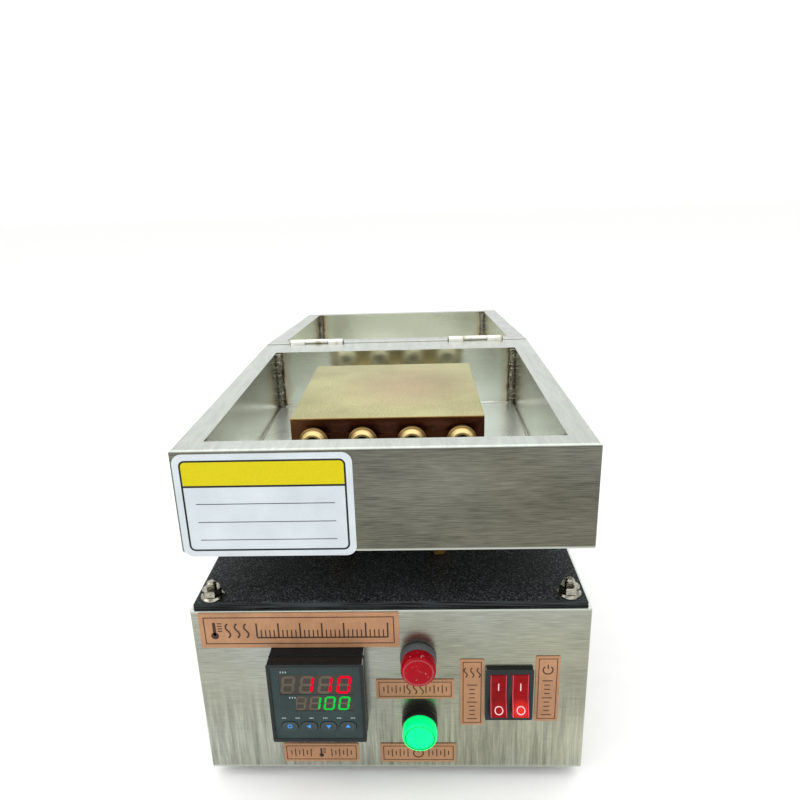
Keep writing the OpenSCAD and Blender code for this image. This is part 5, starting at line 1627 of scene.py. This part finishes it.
class HEATER_OT_labels(bpy.types.Operator):
    """Finish the labels and the chamber's sticker, with plain marks in place of words"""

    bl_idname = "heater.labels"
    bl_label = "Labels"

    def execute(self, context):
        colours, sizes, _ = settings()
        copper = printed_laminate("copper_tone_laminate", colours.copper_print)
        dress(copper, "title_plate", "control_labels")
        ink = screen_ink("brown_screen_ink", colours.ink)
        thick = sizes.print_thickness

        bm = bmesh.new()
        low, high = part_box("title_plate")
        y = low.y
        inset, outline = 2.3 * MM, 0.5 * MM
        printed_frame(
            bm, (low.x + inset, y - thick, low.z + inset), (high.x - inset, y, high.z - inset), outline,
            0.3 * MM,
        )
        mid = middle((low, high)).z
        y -= thick / 2
        thermometer(bm, low.x + 7.5 * MM, mid, y, 10 * MM, 1.0 * MM, thick)
        wave_lines(bm, low.x + 19 * MM, mid, y, 8.5 * MM, 1.0 * MM, thick)
        start, step = low.x + 29 * MM, 2.2 * MM
        base = mid - 4.2 * MM
        count = int((high.x - 5 * MM - start) / step)
        for i in range(count + 1):
            tall = 8.6 * MM if i % 5 == 0 else 4.6 * MM
            bar(
                bm, (start + i * step, y, base), (start + i * step, y, base + tall),
                0.8 * MM if i % 5 == 0 else 0.6 * MM, thick, 0.2,
            )
        bar(bm, (start, y, base), (start + count * step, y, base), 0.8 * MM, thick, 0.2)
        make_piece("title_scale_print", bm, ink, "cabinet")

        bm = bmesh.new()
        lamp_z = middle(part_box("power_lamp_lens")).z
        switch_x = middle(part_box("switch_housing")).x
        for low, high in solids("control_labels"):
            wide, tall = high.x - low.x, high.z - low.z
            spot = middle((low, high))
            y = low.y
            printed_frame(
                bm, (low.x + 1.3 * MM, y - thick, low.z + 1.3 * MM),
                (high.x - 1.3 * MM, y, high.z - 1.3 * MM), 0.4 * MM, 0.2 * MM,
            )
            y -= thick / 2
            if tall > wide:
                mark = wave_lines if spot.x < switch_x else power_mark
                mark(bm, spot.x, high.z - 8 * MM, y, 6 * MM, 0.7 * MM, thick)
                for i in range(9):
                    reach = 2.6 * MM if i % 4 == 0 else 1.5 * MM
                    height = low.z + 4 * MM + i * 2.7 * MM
                    bar(bm, (spot.x - reach, y, height), (spot.x + reach, y, height), 0.55 * MM, thick, 0.2)
            else:
                mark = thermometer if spot.x < -20 * MM else (power_mark if spot.z < lamp_z else wave_lines)
                mark(bm, spot.x, spot.z, y, 6.2 * MM, 0.7 * MM, thick)
                for sign in (-1, 1):
                    for i in range(6):
                        x = spot.x + sign * (5.6 + 2.1 * i) * MM
                        reach = 2.6 * MM if i % 2 == 0 else 1.5 * MM
                        bar(bm, (x, y, spot.z - reach), (x, y, spot.z + reach), 0.55 * MM, thick, 0.2)
        make_piece("control_label_print", bm, ink, "cabinet")

        low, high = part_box("chamber_sticker")
        film = coated_film("white_vinyl_film", colours.film)
        dress(film, "chamber_sticker")
        black = screen_ink("black_screen_ink", linear("#181c1e"))
        bm = bmesh.new()
        edge = 3.1 * MM
        corner, far = (low.x + edge, low.y - thick, low.z + edge), (high.x - edge, low.y, high.z - edge)
        printed_frame(bm, corner, far, 0.9 * MM, 3 * MM)
        y = low.y - thick / 2
        band_z = high.z - edge - 13.4 * MM
        bar(bm, (corner[0] + 0.4 * MM, y, band_z), (far[0] - 0.4 * MM, y, band_z), 1.0 * MM, thick, 0.0)
        for i in range(3):
            height = band_z - (9.2 + 9.6 * i) * MM
            bar(bm, (corner[0] + 6 * MM, y, height), (far[0] - 6 * MM, y, height), 0.35 * MM, thick, 0.0)
        make_piece("sticker_outline", bm, black, "cabinet")
        bm = bmesh.new()
        slab(
            bm, (corner[0] + 0.5 * MM, low.y - 0.6 * thick, band_z),
            (far[0] - 0.5 * MM, low.y, far[2] - 0.5 * MM), 2.4 * MM, 5, along=Y,
        )
        make_piece(
            "sticker_band", bm, screen_ink("yellow_screen_ink", colours.band, 0.9), "cabinet",
        )
        return {"FINISHED"}


class HEATER_OT_mains(bpy.types.Operator):
    """Finish the mains inlet and what the cabinet holds"""

    bl_idname = "heater.mains"
    bl_label = "Mains Side"

    def execute(self, context):
        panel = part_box("cabinet_shell")[1].y

        def behind(edge):
            """Whether an edge is outside the cabinet's back."""
            return all(v.co.y > panel - 0.5 * MM for v in edge.verts) and edge.calc_length() > 2 * MM

        black = moulded_plastic("moulded_inlet_nylon", linear("#1b1d1f"), 0.42, 0.1, 0.6, 0.3)
        eased_copy("appliance_inlet", "mains_inlet", black, "cabinet", 0.4 * MM, behind)
        dress(turned_brass("nickel_brass_pins", linear("#c9c1a4")), "inlet_pins")
        dress(moulded_plastic("moulded_relay_case", linear("#d8d7cf"), 0.45), "solid_state_relay")
        dress(plated_fastener("extruded_aluminium", "#b4b7b9"), "relay_heat_sink")
        dress(moulded_plastic("moulded_polyamide_strip", linear("#d4cdb4"), 0.5), "terminal_strip")
        dress(braided_sleeve("silicone_wire", "#a8352a"), "wiring_loom")
        return {"FINISHED"}


OPERATORS = (
    HEATER_OT_stage, HEATER_OT_cabinet, HEATER_OT_chamber, HEATER_OT_block, HEATER_OT_lid,
    HEATER_OT_controller, HEATER_OT_lamps, HEATER_OT_switches, HEATER_OT_labels, HEATER_OT_mains,
)


class HEATER_PT_sidebar(bpy.types.Panel):
    """Lists the heater's settings and pieces"""

    bl_idname = "HEATER_PT_sidebar"
    bl_label = "Block Heater"
    bl_space_type = "VIEW_3D"
    bl_region_type = "UI"
    bl_category = "Block Heater"

    def draw(self, context):
        for group in settings():
            box = self.layout.box()
            for name in group.__annotations__:
                box.prop(group, name)
        for operator in OPERATORS:
            self.layout.operator(operator.bl_idname)


CLASSES = (HeaterColours, HeaterSizes, HeaterStage, *OPERATORS, HEATER_PT_sidebar)


def register():
    """Registers the settings, the operators and the panel."""
    for cls in CLASSES:
        bpy.utils.register_class(cls)
    bpy.types.Scene.heater_colours = bpy.props.PointerProperty(type=HeaterColours)
    bpy.types.Scene.heater_sizes = bpy.props.PointerProperty(type=HeaterSizes)
    bpy.types.Scene.heater_stage = bpy.props.PointerProperty(type=HeaterStage)


def unregister():
    """Removes what register added."""
    del bpy.types.Scene.heater_stage, bpy.types.Scene.heater_sizes, bpy.types.Scene.heater_colours
    for cls in reversed(CLASSES):
        bpy.utils.unregister_class(cls)


def main():
    """Builds the whole heater."""
    register()
    bpy.ops.heater.stage()
    bpy.ops.heater.cabinet()
    bpy.ops.heater.chamber()
    bpy.ops.heater.block()
    bpy.ops.heater.lid()
    bpy.ops.heater.controller()
    bpy.ops.heater.lamps()
    bpy.ops.heater.switches()
    bpy.ops.heater.labels()
    bpy.ops.heater.mains()


if __name__ == "__main__":
    main()
